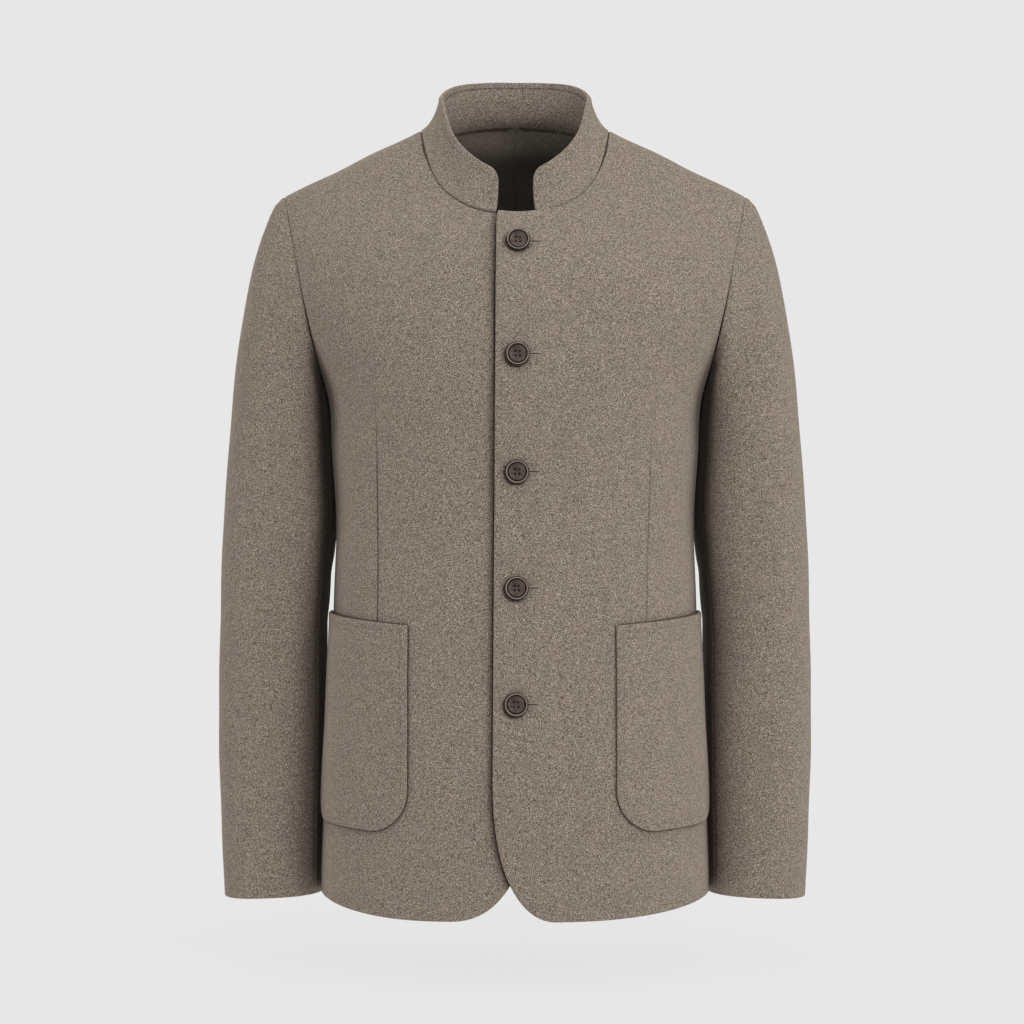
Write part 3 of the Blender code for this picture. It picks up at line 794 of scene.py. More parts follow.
def makeWool():
    look = Look("brushedMelangeWool")
    grain = woolGrain(look)
    patch = look.noise(look.place(), 1 / wool["patchSize"])
    tone = (grain - 0.5) * wool["grainContrast"] + 0.5 + (patch - 0.5) * wool["patchShare"]
    colour = look.mix(look.clamp(tone) ** wool["grainPower"], wool["dark"], wool["light"])
    tint = look.mix(look.clamp((patch - 0.5) * wool["tintRate"] + 0.5), wool["cool"], wool["warm"])
    colour = look.mix(1.0, colour, tint, "MULTIPLY")
    edge, aside, along = look.marks("sewing")
    trough = look.bell(edge - wool["stitchAt"], wool["stitchWide"])
    dart = look.bell(aside, wool["dartWide"]) * along
    shade = trough * wool["stitchDark"] + dart * wool["dartDark"]
    # painted shade: darkening where other cloth blocks the air in front, and painted shadow lines where one
    # piece lies on another
    blocked, lap, contactShadow = look.marks("shade")
    limit = wool["shadowLineLimit"]
    for mark, (deep, near, soft, wide) in ((lap, wool["lap"]), (contactShadow, wool["contactShadow"])):
        away = look.clamp((limit - mark) / limit) * limit
        shade = shade + look.bell(away, near) * deep + look.bell(away, wide) * soft
    # the share left lit once the seam lines, painted shadow lines and painted gap shade are taken off
    light = (1.0 - look.clamp(shade)) * (1.0 - blocked)
    colour = look.mix(1.0 - light, colour, wool["shade"])
    height = grain - trough * wool["stitchDeep"] - dart * wool["dartDeep"]
    return look.done({
        "Base Color": colour,
        "Roughness": wool["roughness"],
        "Specular IOR Level": wool["specular"],
        "Sheen Weight": wool["sheen"],
        "Sheen Roughness": wool["sheenRoughness"],
        "Sheen Tint": wool["sheenTint"],
        "Normal": look.bump(height, wool["napDepth"], wool["napStrength"]),
    })


lining = {
    "dark": (0.026, 0.021, 0.015, 1.0),
    "light": (0.075, 0.062, 0.047, 1.0),
    # a wool-grained facing at the neck, painted much paler than the wool as light falling in, fading into
    # the dark lining below: its two colours and the heights it fades between
    "neckLightDark": (0.190, 0.158, 0.126, 1.0),
    "neck": (0.740, 0.625, 0.515, 1.0),
    "neckLightFrom": -0.022,
    "neckLightTo": 0.010,
    "grainShare": 0.5,
    "twillSize": 0.0016,
    "twillTurn": (0, math.radians(50), 0),
    "twillStretch": (0.25, 1.0, 1.0),
    "twillDepth": 0.0003,
    "twillStrength": 0.3,
    "roughness": 0.72,
}


def makeLining():
    look = Look("darkTwillLining")
    spun = look.place(lining["twillTurn"], lining["twillStretch"])
    twill = look.noise(spun, 1 / lining["twillSize"], 1.0)
    colour = look.mix(twill, lining["dark"], lining["light"])
    # painted light near the neck, fading down into the dark lining
    height = look.parts(look.place())[2]
    up = look.ease((height - lining["neckLightFrom"]) / (lining["neckLightTo"] - lining["neckLightFrom"]))
    grain = look.clamp((woolGrain(look) - 0.5) * wool["grainContrast"] + 0.5)
    colour = look.mix(up, colour, look.mix(grain, lining["neckLightDark"], lining["neck"]))
    colour = look.mix(grain * (1.0 - up) * lining["grainShare"], colour, lining["light"])
    return look.done({
        "Base Color": colour,
        "Roughness": lining["roughness"],
        "Normal": look.bump(twill, lining["twillDepth"], lining["twillStrength"]),
    })


thread = {
    "twist": 2600.0,
    "twistDepth": 0.0002,
    "twistStrength": 0.5,
    "sheen": 0.2,
    # dark, light, roughness
    "tonalThread": ((0.115, 0.094, 0.075, 1.0), (0.200, 0.166, 0.138, 1.0), 0.7),
    # near-black: the buttonhole slits, painted as the shade in their openings, and the dark thread inside
    # the collar
    "buttonholeSlit": ((0.016, 0.011, 0.009, 1.0), (0.034, 0.022, 0.018, 1.0), 0.9),
    "buttonholeThread": ((0.230, 0.192, 0.158, 1.0), (0.340, 0.285, 0.238, 1.0), 0.7),
    "buttonThread": ((0.020, 0.014, 0.011, 1.0), (0.052, 0.038, 0.030, 1.0), 0.6),
}


def makeThread(name):
    look = Look(name)
    dark, light, roughness = thread[name]
    twist = look.noise(look.place(), thread["twist"], 1.0)
    return look.done({
        "Base Color": look.mix(twist, dark, light),
        "Roughness": roughness,
        "Sheen Weight": thread["sheen"],
        "Normal": look.bump(twist, thread["twistDepth"], thread["twistStrength"]),
    })


horn = {
    "dark": (0.010, 0.007, 0.005, 1.0),
    "middle": (0.088, 0.064, 0.049, 1.0),
    "light": (0.160, 0.119, 0.092, 1.0),
    # painted highlight ring on the rim's crest, then painted shade in the groove inside it and on the outer
    # wall
    "rim": (0.360, 0.290, 0.240, 1.0),
    "rimHighlightAt": 0.0096,
    "rimHighlightWide": 0.00034,
    "rimHighlightShare": 0.9,
    "grooveShadeAt": 0.0084,
    "grooveShadeWide": 0.0006,
    "wallShadeAt": 0.0100,
    "wallShadeFade": 0.0003,
    # turn, stretch, scale, detail, roughness
    "cloud": ((0.4, 0.2, 0.9), (1.0, 1.0, 0.45), 210.0, 3.0, 0.6),
    "vein": ((0.1, 0.7, 0.3), (0.35, 1.0, 1.0), 620.0, 2.0, 0.55),
    # where each begins to show, and how fast
    "cloudShow": (0.26, 3.2),
    "veinShow": (0.60, 5.0),
    "veinShare": 0.5,
    "veinDepth": 0.0002,
    "veinStrength": 0.2,
    "roughness": (0.34, 0.46),
    "specular": 0.3,
}


def makeHorn():
    look = Look("darkHorn")
    cloud, vein = (
        look.noise(look.place(turn, stretch), *grain)
        for turn, stretch, *grain in (horn["cloud"], horn["vein"])
    )
    begins, rate = horn["cloudShow"]
    colour = look.mix(look.clamp((cloud - begins) * rate), horn["dark"], horn["middle"])
    begins, rate = horn["veinShow"]
    colour = look.mix(look.clamp((vein - begins) * rate) * horn["veinShare"], colour, horn["light"])
    x, y = look.parts(look.place())[:2]
    away = (x ** 2.0 + y ** 2.0) ** 0.5
    # painted shade on the outer wall and in the groove, and a painted highlight ring on the rim
    colour = look.mix(look.ease((away - horn["wallShadeAt"]) / horn["wallShadeFade"]), colour, horn["dark"])
    colour = look.mix(look.bell(away - horn["grooveShadeAt"], horn["grooveShadeWide"]), colour, horn["dark"])
    rim = look.bell(away - horn["rimHighlightAt"], horn["rimHighlightWide"]) * horn["rimHighlightShare"]
    low, high = horn["roughness"]
    return look.done({
        "Base Color": look.mix(rim, colour, horn["rim"]),
        "Roughness": cloud * (high - low) + low,
        "Specular IOR Level": horn["specular"],
        "Normal": look.bump(vein, horn["veinDepth"], horn["veinStrength"]),
    })


woolLook = makeWool()
liningLook = makeLining()
threadLook = makeThread("tonalThread")
slitShadeAndThreadLook = makeThread("buttonholeSlit")
lipThread = makeThread("buttonholeThread")
darkThread = makeThread("buttonThread")
hornLook = makeHorn()
clothLooks = (woolLook, liningLook)
print("materials made")

panels = {}
sides = ("left", "right")

# Fronts: the wearer's left laps over the right, and both low corners are cut away round

fronts = {
    "standFrom": 0.0040,
    "dartBend": 0.0006,
    "dartPoints": 160,
    "edgeTopHeight": -0.083,
    "edgeLowHeight": -0.650,
    "columns": 62,
    "rowsLow": 104,
    "rowsMiddle": 34,
    "rowsNeck": 30,
    "left": {
        "edgeTop": -0.0176,
        "edgeLow": -0.0208,
        "edgeThick": 0.0044,
        "edgeTurn": (0.0020, 0.020),
        "hemRiseFrom": 14,
        "corner": (0.0620, 0.1330),
        "curve": 2.32,
        "lift": 0.0018,
        "liftFrom": (0.0450, 0.0200),
        "edgeStand": 0.0012,
        "dart": ((0.1280, -0.264), (0.1211, -0.4630), 0.55),
    },
    "right": {
        "edgeTop": -0.0142,
        "edgeLow": -0.0165,
        "edgeThick": 0.0030,
        "edgeTurn": (0.0, 0.024),
        "hemRiseFrom": 25,
        "corner": (0.0800, 0.1395),
        "curve": 2.40,
        "lift": -0.0022,
        "liftFrom": (0.0800, 0.0220),
        "edgeStand": 0.0,
        "dart": ((0.1294, -0.254), (0.1268, -0.4670), 1.0),
    },
    # soft creases: from, to, bend (each across and height), half width, depth
    "folds": (
        ((0.150, -0.262), (0.090, -0.345), (-0.006, -0.010), 0.012, 0.0010),
        ((0.168, -0.300), (0.150, -0.420), (0.004, 0.000), 0.014, 0.0009),
        ((0.150, -0.110), (0.178, -0.215), (-0.008, 0.000), 0.011, 0.0008),
    ),
}


def frontSurface(style):
    def place(spot):
        points = bodyPoint(spot, "front")
        lift = style["lift"] * rising(points[..., 0], *style["liftFrom"])
        lift = lift + style["edgeStand"] * rising(points[..., 0], fronts["standFrom"], style["edgeTop"])
        return points + bodyNormal(spot, "front") * lift[..., None]

    return place


def edgeAcross(style, height):
    span = fronts["edgeLowHeight"] - fronts["edgeTopHeight"]
    share = np.clip((height - fronts["edgeTopHeight"]) / span, 0, 1)
    turn, reach = style["edgeTurn"]
    near = ease((height - fronts["edgeTopHeight"] + reach) / reach)
    return between(style["edgeTop"], style["edgeLow"], share) + turn * near**2


def sideLines(side):
    # side seam, armhole and shoulder seam, in the order they run round a panel
    height = between(body["hemSide"], body["underarm"][1], shares)
    seam = bodyPlace(torsoSizes(height)[..., 0], height, side)
    height = armholeHeight(shares)
    hole = bodyPlace(armholeAcross(height), height, side)
    across = between(body["shoulderTip"][0], body["neckHalfWidth"], shares)
    shoulder = bodyPlace(across, ridgeHeight(across), side)
    return seam, hole, shoulder


def foldsOn(folds, side):
    # creases given by places across and heights, as places on the body
    made = []
    for start, end, bend, width, deep in folds:
        first = bodyPlace(*start, side)
        bent = bodyPlace(start[0] + bend[0], start[1] + bend[1], side) - first
        made.append((first, bodyPlace(*end, side), bent, width, deep))
    return made


def bodyPanel(name, node, place, side, sizes, lines, kind, **options):
    # a front or a back, sewn on at the side seam, armhole, shoulder and neckline
    hem, neck, upper, lower = lines
    seam, hole, shoulder = sideLines(side)
    columns = sizes["columns"]
    rowsLow = sizes["rowsLow"]
    rowsUp = sizes["rowsMiddle"] + sizes["rowsNeck"]
    stretches = (
        (hem, columns, "stitched"),
        (seam, rowsLow, "seam"),
        (hole, rowsUp, "seam"),
        (shoulder, columns, "seam"),
        (bodyPlace(neck[:, 0], neck[:, 2], side), sizes["rowsNeck"], "faced"),
        (upper, sizes["rowsMiddle"], kind),
        (lower, rowsLow, kind),
    )
    return clothPanel(name, node, place, stretches, columns, rowsLow + rowsUp, clothLooks, rowsLow,
                      folds=foldsOn(sizes["folds"], side), **options)


def frontPanel(name, node, style, mirrored):
    wide, tall = style["corner"]
    startAcross = style["edgeLow"] + wide
    roundTop = body["hemFront"] + tall
    startTurn = trunkTurn(np.array(startAcross), np.array(body["hemFront"]))
    turn = between(startTurn, quarterTurn, shares)
    rise = rising(np.degrees(turn), style["hemRiseFrom"], 90)
    height = between(body["hemFront"], body["hemSide"], rise)
    hem = bodyPlace(trunkAcross(turn, height), height, "front")
    neckStart = math.asin((style["edgeTop"] + style["edgeTurn"][0]) / body["neckHalfWidth"])
    neck = neckPoint(between(quarterTurn, neckStart, shares))
    height = between(neck[-1, 2], roundTop, shares)
    edge = bodyPlace(edgeAcross(style, height), height, "front")
    chest = np.searchsorted(-height, -body["underarm"][1])
    bend = quarterTurn * (1 - shares)
    power = 2 / style["curve"]
    height = roundTop - tall * np.cos(bend) ** power
    across = between(startAcross, edgeAcross(style, height), np.sin(bend) ** power)
    corner = bodyPlace(across, height, "front")
    lowEdge = np.concatenate([edge[chest:], corner[1:]])
    top, low, strength = style["dart"]
    run = np.linspace(top, low, fronts["dartPoints"])
    t = np.linspace(0, 1, fronts["dartPoints"])
    run[:, 0] -= fronts["dartBend"] * 4 * t * (1 - t)
    dart = (bodyPlace(run[:, 0], run[:, 1], "front"), strength)
    lines = (hem, neck, edge[: chest + 1], lowEdge)
    return bodyPanel(name, node, frontSurface(style), "front", fronts, lines, "stitched",
                     edgeThick=style["edgeThick"], mirrored=mirrored, dart=dart)


for side in sides:
    name = "front" + side.capitalize() + "Panel"
    panels[name] = frontPanel(name, "front_" + side, fronts[side], side == "right")

# Backs, joined at a centre seam

backs = {
    "columns": 54,
    "rowsLow": 92,
    "rowsMiddle": 36,
    "rowsNeck": 20,
    # from, to, bend, half width, depth
    "folds": (
        ((0.165, -0.270), (0.080, -0.365), (-0.008, -0.012), 0.013, 0.0012),
        ((0.168, -0.315), (0.060, -0.395), (-0.006, -0.012), 0.015, 0.0011),
        ((0.125, -0.110), (0.172, -0.225), (-0.010, 0.000), 0.012, 0.0010),
        ((0.110, -0.480), (0.118, -0.690), (0.004, 0.000), 0.022, 0.0013),
    ),
}


def backPanel(name, node, mirrored):
    hemSide = body["hemSide"]
    chest = body["underarm"][1]
    hem = bodyPlace(trunkAcross(quarterTurn * shares, 0 * shares + hemSide), hemSide, "back")
    neck = neckPoint(quarterTurn * (1 + shares))
    upper = bodyPlace(0, between(neck[-1, 2], chest, shares), "back")
    lower = bodyPlace(0, between(chest, hemSide, shares), "back")
    return bodyPanel(name, node, lambda spot: bodyPoint(spot, "back"), "back", backs,
                     (hem, neck, upper, lower), "seam", mirrored=mirrored)


for side in sides:
    name = "back" + side.capitalize() + "Panel"
    panels[name] = backPanel(name, "back_" + side, side == "right")

# Two-piece sleeves

sleeve = {
    "frontSeam": 150,
    "backSeam": 255,
    "capBlend": 0.120,
    "headRound": 0.010,
    "headSpan": (-0.1, 0.4),
    "squareness": 2.45,
    "topColumns": 76,
    "underColumns": 34,
    "rowCount": 150,
    "ringCount": 7,
    "leadInset": 0.004,
    # from, to and count of the turns, in degrees, at which the armhole is tabled
    "tableTurns": (-180, 270, 1801),
    # along, outer x, outer z, inner x, inner z, middle y, half depth
    "rows": (
        (0.000, 0.2213, -0.0630, 0.1815, -0.2500, 0.006, 0.0510),
        (0.008, 0.2272, -0.0668, 0.1818, -0.2510, 0.007, 0.0520),
        (0.028, 0.2368, -0.0847, 0.1812, -0.2530, 0.010, 0.0550),
        (0.048, 0.2435, -0.1034, 0.1805, -0.2560, 0.012, 0.0580),
        (0.107, 0.2586, -0.1608, 0.1793, -0.2640, 0.018, 0.0630),
        (0.165, 0.2683, -0.2185, 0.1777, -0.2760, 0.024, 0.0660),
        (0.204, 0.2731, -0.2570, 0.1762, -0.2930, 0.028, 0.0670),
        (0.263, 0.2779, -0.3152, 0.1745, -0.3290, 0.031, 0.0660),
        (0.321, 0.2819, -0.3734, 0.1732, -0.3780, 0.033, 0.0640),
        (0.399, 0.2855, -0.4513, 0.1810, -0.4530, 0.034, 0.0610),
        (0.477, 0.2868, -0.5290, 0.1828, -0.5290, 0.033, 0.0580),
        (0.550, 0.2860, -0.6017, 0.1836, -0.6010, 0.031, 0.0550),
        (0.622, 0.2841, -0.6741, 0.1846, -0.6720, 0.029, 0.0520),
        (0.685, 0.2812, -0.7360, 0.1856, -0.7318, 0.027, 0.0495),
    ),
    # soft creases: from, to, bend (each turn in degrees and place along), half width, depth
    "topFolds": (
        ((20, 0.375), (140, 0.345), (0, 0.012), 0.013, 0.0011),
        ((40, 0.415), (148, 0.400), (0, -0.010), 0.012, 0.0010),
        ((-95, 0.330), (-10, 0.365), (0, 0.012), 0.014, 0.0010),
        ((60, 0.150), (120, 0.190), (0, 0.008), 0.014, 0.0008),
        ((-80, 0.140), (-30, 0.190), (0, 0.008), 0.014, 0.0008),
    ),
    "underFolds": (
        ((152, 0.350), (245, 0.375), (0, 0.012), 0.012, 0.0011),
        ((155, 0.405), (240, 0.420), (0, 0.008), 0.012, 0.0009),
    ),
}
sleeveSizes = splineThrough(sleeve["rows"])
sleeveLength = sleeve["rows"][-1][0]


def armholeEdge(turn):
    # the armhole edge and the way the body's cloth points there; turn is 0 at the shoulder tip
    def edge(turn):
        height = armholeHeight(np.arccos(np.clip(-np.cos(turn), -1, 1)) / np.pi)
        across = armholeAcross(height)
        y = np.where(np.sin(turn) >= 0, depthAt(across, height, "front"), depthAt(across, height, "back"))
        return stacked(across, y, height)

    point = edge(turn)
    across = point[..., 0] - sleeve["leadInset"]
    justUnder = ridgeHeight(across) - tinyStep
    onRidge = point[..., 2] > ridgeHeight(point[..., 0]) - 1e-6
    height = np.where(onRidge, justUnder, np.minimum(point[..., 2], justUnder))
    front = bodyNormal(bodyPlace(across, height, "front"), "front")
    back = bodyNormal(bodyPlace(across, height, "back"), "back")
    out = np.where((np.sin(turn) >= 0)[..., None], front, back)
    lead = unit(np.cross(out, edge(turn + smallTurn) - edge(turn - smallTurn)))
    return point, lead * np.where(lead[..., :1] < 0, -1.0, 1.0)


ringTurns = np.linspace(*sleeve["tableTurns"])
ringPoints, ringLeads = armholeEdge(np.radians(ringTurns))


def overTurns(table, turn):
    return readOff(np.degrees(turn), ringTurns, table)


def sleeveRing(turn, along):
    outerX, outerZ, innerX, innerZ, middleY, halfDepth = np.moveaxis(sleeveSizes(along), -1, 0)
    x = (outerX + innerX) / 2 + (outerX - innerX) / 2 * np.cos(turn)
    z = (outerZ + innerZ) / 2 + (outerZ - innerZ) / 2 * np.cos(turn)
    n = sleeve["squareness"]
    deep = np.sign(np.sin(turn)) * (1 - np.minimum(np.abs(np.cos(turn)), 1) ** n) ** (1 / n)
    y = middleY - halfDepth * deep
    share = ease(along / sleeve["capBlend"])
    return stacked(x, overTurns(ringPoints, turn)[..., 1] * (1 - share) + y * share, z)


def sleeveSurface(spot):
    # over the shoulder the sleeve sets off the way the body's cloth points
    turn = np.radians(spot[..., 0] * 100)
    along = spot[..., 1]
    own = (sleeveRing(turn, 0 * along + tinyStep) - sleeveRing(turn, 0 * along)) / tinyStep
    lead = overTurns(ringLeads, turn) * np.linalg.norm(own, axis=-1, keepdims=True)
    upper = rising(np.cos(turn), *sleeve["headSpan"])
    share = upper * along * np.exp(-along / sleeve["headRound"])
    return sleeveRing(turn, along) + (lead - own) * share[..., None]


def sleevePanel(name, node, turnFrom, turnTo, columns, folds, mirrored):
    # places are the turn in hundreds of degrees and the length along
    turns = between(turnFrom, turnTo, shares) / 100
    run = sleeveLength * (1 - shares)
    cuff = stacked(turns, sleeveLength)
    seamTo = stacked(turnTo / 100, run)
    head = stacked(turns[::-1], 0.0)
    seamFrom = stacked(turnFrom / 100, run[::-1])
    rows = sleeve["rowCount"]
    stretches = (
        (cuff, columns, "plain"),
        (seamTo, rows, "seam"),
        (head, columns, "seam"),
        (seamFrom, rows, "seam"),
    )
    folds = [
        tuple((turn / 100, along) for turn, along in fold[:3]) + fold[3:]
        for fold in folds
    ]
    return clothPanel(name, node, sleeveSurface, stretches, columns, rows, clothLooks,
                      mirrored=mirrored, folds=folds, ringsAt=cloth["rings"][: sleeve["ringCount"]])


for side in sides:
    for part, turnFrom, turnTo in (
        ("top", sleeve["backSeam"] - 360, sleeve["frontSeam"]),
        ("under", sleeve["frontSeam"], sleeve["backSeam"]),
    ):
        name = "sleeve" + part.capitalize() + side.capitalize()
        node = "sleeve_" + part + "_" + side
        panels[name] = sleevePanel(name, node, turnFrom, turnTo, sleeve[part + "Columns"],
                                   sleeve[part + "Folds"], side == "right")

# Stand collar, two cloths thick with rounded front corners

collar = {
    "thick": 0.0040,
    "bow": 0.0138,
    "corner": 0.0075,
    # what a turn and a full upright measure near the ends
    "turnMeasure": 0.082,
    "uprightMeasure": 0.038,
    "ends": {"left": 0.0192, "right": 0.0180},
    "seamGap": 0.0003,
    "lineWithin": 0.45,
    "rings": (0.0, 0.0003, 0.0008, 0.0014, 0.0021, 0.0030, 0.0041, 0.0052, 0.0062, 0.0070),
    "columns": 190,
    "rowCount": 16,
    "tablePoints": 1441,
    "linePoints": 900,
    "endPoints": 200,
    "arcPoints": 60,
    # degrees around from the front, height, lean
    "rows": (
        (0, 0.0384, 0.0080),
        (17, 0.0418, 0.0101),
        (30, 0.0462, 0.0118),
        (45, 0.0490, 0.0142),
        (58, 0.0478, 0.0164),
        (68, 0.0437, 0.0180),
        (78, 0.0366, 0.0186),
        (88, 0.0332, 0.0184),
        (98, 0.0342, 0.0171),
        (108, 0.0364, 0.0150),
        (120, 0.0405, 0.0121),
        (135, 0.0432, 0.0090),
        (155, 0.0416, 0.0066),
        (180, 0.0396, 0.0060),
    ),
}
collarSizes = splineThrough(collar["rows"])
neckTurns = np.linspace(0, 2 * np.pi, collar["tablePoints"])
neckPoints = neckPoint(neckTurns)


def neckLeads():
    # the way the body's cloth points as it reaches the neckline
    step = tinyStep
    x = neckPoints[:, 0]
    y = neckPoints[:, 1]
    slopeX = (bodyHeight(x + step, y) - bodyHeight(x - step, y)) / (2 * step)
    slopeY = (bodyHeight(x, y + step) - bodyHeight(x, y - step)) / (2 * step)
    out = stacked(-slopeX, -slopeY, 1.0)
    ahead = neckPoint(neckTurns + smallTurn) - neckPoint(neckTurns - smallTurn)
    return unit(np.cross(out, ahead))


neckWays = neckLeads()


def collarSurface(spot):
    # each upright is a bow that leaves the neckline along the body's cloth
    around = spot[..., 0]
    base = readOff(around, neckTurns, neckPoints)
    lead = readOff(around, neckTurns, neckWays)
    inX = -base[..., 0] / body["neckHalfWidth"] ** 2
    inward = unit(stacked(inX, np.cos(around) / body["neckFront"], 0.0))
    height, lean = np.moveaxis(collarSizes(np.degrees(np.arccos(np.cos(around)))), -1, 0)
    gap = collar["seamGap"] / (2 * collar["bow"])
    share = between(gap, 1, spot[..., 1])[..., None]
    top = inward * lean[..., None] + upright * height[..., None]
    return base + 2 * share * (1 - share) * lead * collar["bow"] + share**2 * top


def collarPanel():
    start = math.asin(collar["ends"]["left"] / body["neckHalfWidth"])
    end = 2 * np.pi - math.asin(collar["ends"]["right"] / body["neckHalfWidth"])
    t = np.linspace(0, 1, collar["linePoints"])
    climb = np.linspace(0, 1, collar["endPoints"])
    bend = quarterTurn * np.linspace(0, 1, collar["arcPoints"])
    wide = collar["corner"] / collar["turnMeasure"]
    tall = collar["corner"] / collar["uprightMeasure"]
    low = stacked(between(start, end, t), 0.0)
    up = stacked(end, (1 - tall) * climb)
    upArc = stacked(end - wide * (1 - np.cos(bend)), 1 - tall * (1 - np.sin(bend)))
    top = stacked(end - wide + (start - end + 2 * wide) * t, 1.0)
    downArc = stacked(start + wide * (1 - np.sin(bend)), 1 - tall * (1 - np.cos(bend)))
    down = stacked(start, (1 - tall) * climb[::-1])
    stretches = (
        (low, collar["columns"], "seam"),
        (np.concatenate([up, upArc[1:]]), collar["rowCount"], "stitched"),
        (top, collar["columns"], "stitched"),
        (np.concatenate([downArc, down[1:]]), collar["rowCount"], "stitched"),
    )
    return clothPanel("collarBand", "collar", collarSurface, stretches, collar["columns"],
                      collar["rowCount"], (woolLook,), thick=collar["thick"], lined=False,
                      ringsAt=collar["rings"], lineWithin=collar["lineWithin"])


panels["collarBand"] = collarPanel()

# Patch pockets, laid on the fronts with the mouth standing off a little

pocket = {
    "inner": {"left": 0.0925, "right": 0.0985},
    "outerTurn": 86.5,
    "width": 0.160,
    "bottom": -0.6605,
    "bottomRise": 0.0040,
    "mouth": (-0.4700, -0.4600),
    "corner": 0.040,
    "gap": 0.0006,
    "stand": 0.0038,
    "standLow": 0.15,
    "standPower": 2.2,
    "columns": 54,
    "rowCount": 62,
    "linePoints": 300,
    "arcPoints": 120,
}


def pocketSurface(innerAcross):
    # the place is the share across, in pocket widths, and the height
    def place(spot):
        share = spot[..., 0] / pocket["width"]
        height = spot[..., 1]
        inner = trunkTurn(np.full(np.shape(height), innerAcross), height)
        turn = between(inner, math.radians(pocket["outerTurn"]), share)
        spotOn = bodyPlace(trunkAcross(turn, height), height, "front")
        up = rising(height, pocket["bottom"], between(*pocket["mouth"], share))
        up = between(pocket["standLow"], 1, up)
        stand = pocket["stand"] * np.sin(np.pi * np.clip(share, 0, 1) ** pocket["standPower"]) * up
        lift = pocket["gap"] + cloth["thick"] + stand
        return bodyPoint(spotOn, "front") + bodyNormal(spotOn, "front") * lift[..., None]

    return place


def pocketPatch(name, node, innerAcross, mirrored):
    wide = pocket["width"]
    bow = pocket["corner"]
    bottom = pocket["bottom"]
    mouthIn, mouthOut = pocket["mouth"]
    t = np.linspace(0, 1, pocket["linePoints"])
    bend = quarterTurn * np.linspace(0, 1, pocket["arcPoints"])
    half = pocket["arcPoints"] // 2
    leftArc = stacked(bow * (1 - np.sin(bend)), bottom + bow * (1 - np.cos(bend)))
    rightArc = stacked(wide - bow * (1 - np.sin(bend)), bottom + bow * (1 - np.cos(bend)))
    base = stacked(bow + (wide - 2 * bow) * t, bottom)
    rightUp = stacked(wide, between(bottom + bow, mouthOut, t))
    leftDown = stacked(0.0, between(mouthIn, bottom + bow, t))
    mouth = stacked(wide * (1 - t), between(mouthOut, mouthIn, t))
    low = np.concatenate([leftArc[: half + 1][::-1], base[1:], rightArc[1 : half + 1]])
    right = np.concatenate([rightArc[half:], rightUp[1:]])
    left = np.concatenate([leftDown, leftArc[half:][::-1][1:]])
    for line in (low, right, left):
        # the lower edge climbs a little towards the side seam
        below = (mouthOut - line[:, 1]) / (mouthOut - bottom)
        line[:, 1] += pocket["bottomRise"] * line[:, 0] / wide * below
    columns = pocket["columns"]
    rows = pocket["rowCount"]
    lines = ((low, columns), (right, rows), (mouth, columns), (left, rows))
    stretches = [(line, count, "stitched") for line, count in lines]
    return clothPanel(name, node, pocketSurface(innerAcross), stretches, columns, rows, (woolLook,),
                      mirrored=mirrored, lined=False)


for side in sides:
    name = "pocket" + side.capitalize() + "Patch"
    panels[name] = pocketPatch(name, "pocket_" + side, pocket["inner"][side], side == "right")

# Topstitching in tonal thread

stitched = {}
for name, panel in panels.items():
    if "sleeve" not in name:
        stitched[name] = [topstitch(panel, name + "Stitches", threadLook)]
stitched["collarBand"].append(topstitch(panels["collarBand"], "collarBandInnerStitches", slitShadeAndThreadLook, True))
print("topstitching sewn")

# Buttons and buttonholes

button = {
    "radius": 0.0108,
    "thick": 0.0040,
    "hole": 0.00115,
    "holeSpacing": 0.0019,
    "holeSides": 20,
    "sides": 72,
    "sharpFrom": math.radians(50),
    "gap": 0.0003,
    # share by which a button is tipped upright, and how much of that lifts it off the cloth
    "level": 0.45,
    "levelLift": 0.8,
    "threadUp": 0.0019,
    "threadOver": 0.0006,
    "threadSize": (0.0008, 0.0006),
    "threadBow": 0.0010,
    # shift of the painted shadow round each button, down and to the left, away from the key light
    "shadowShift": (-0.0011, 0.0, -0.0013),
    # across, height
    "places": (
        (0.0028, -0.1175), (0.0023, -0.2220), (0.0018, -0.3290), (0.0014, -0.4355), (0.0009, -0.5410),
    ),
    # radius, up: from the middle of the back round to the middle of the dish
    "profile": (
        (0.0000, 0.0000), (0.0080, 0.0000), (0.0092, 0.0003), (0.0101, 0.0009), (0.0106, 0.0017),
        (0.0108, 0.0024), (0.0108, 0.0030), (0.0106, 0.0036), (0.0103, 0.0040), (0.0099, 0.0042),
        (0.0095, 0.0041), (0.0091, 0.0037), (0.0088, 0.0031), (0.0086, 0.0026), (0.0083, 0.0024),
        (0.0080, 0.0026), (0.0077, 0.0029), (0.0073, 0.0029), (0.0064, 0.0025), (0.0052, 0.0022),
        (0.0036, 0.0020), (0.0000, 0.0019),
    ),
}
buttonhole = {
    "back": -0.0040,
    "front": 0.0205,
    "slit": 0.0008,
    "slitHeight": 0.0005,
    "pitch": 0.0008,
    "reach": 0.0014,
    "lipSize": (0.00075, 0.0006),
    "lipBow": 0.00012,
    "lipUp": 0.00008,
}


def buttonSpot(across, height):
    heights = height + np.array([0.0, 1e-3, -1e-3])
    point, above, below = bodyPoint(bodyPlace(across, heights, "front"), "front")
    out = unit(np.cross(sideways, above - below))
    tilt = math.atan2(-out[1], out[2])
    return point + out * (fronts["left"]["lift"] + button["gap"]), out, tilt


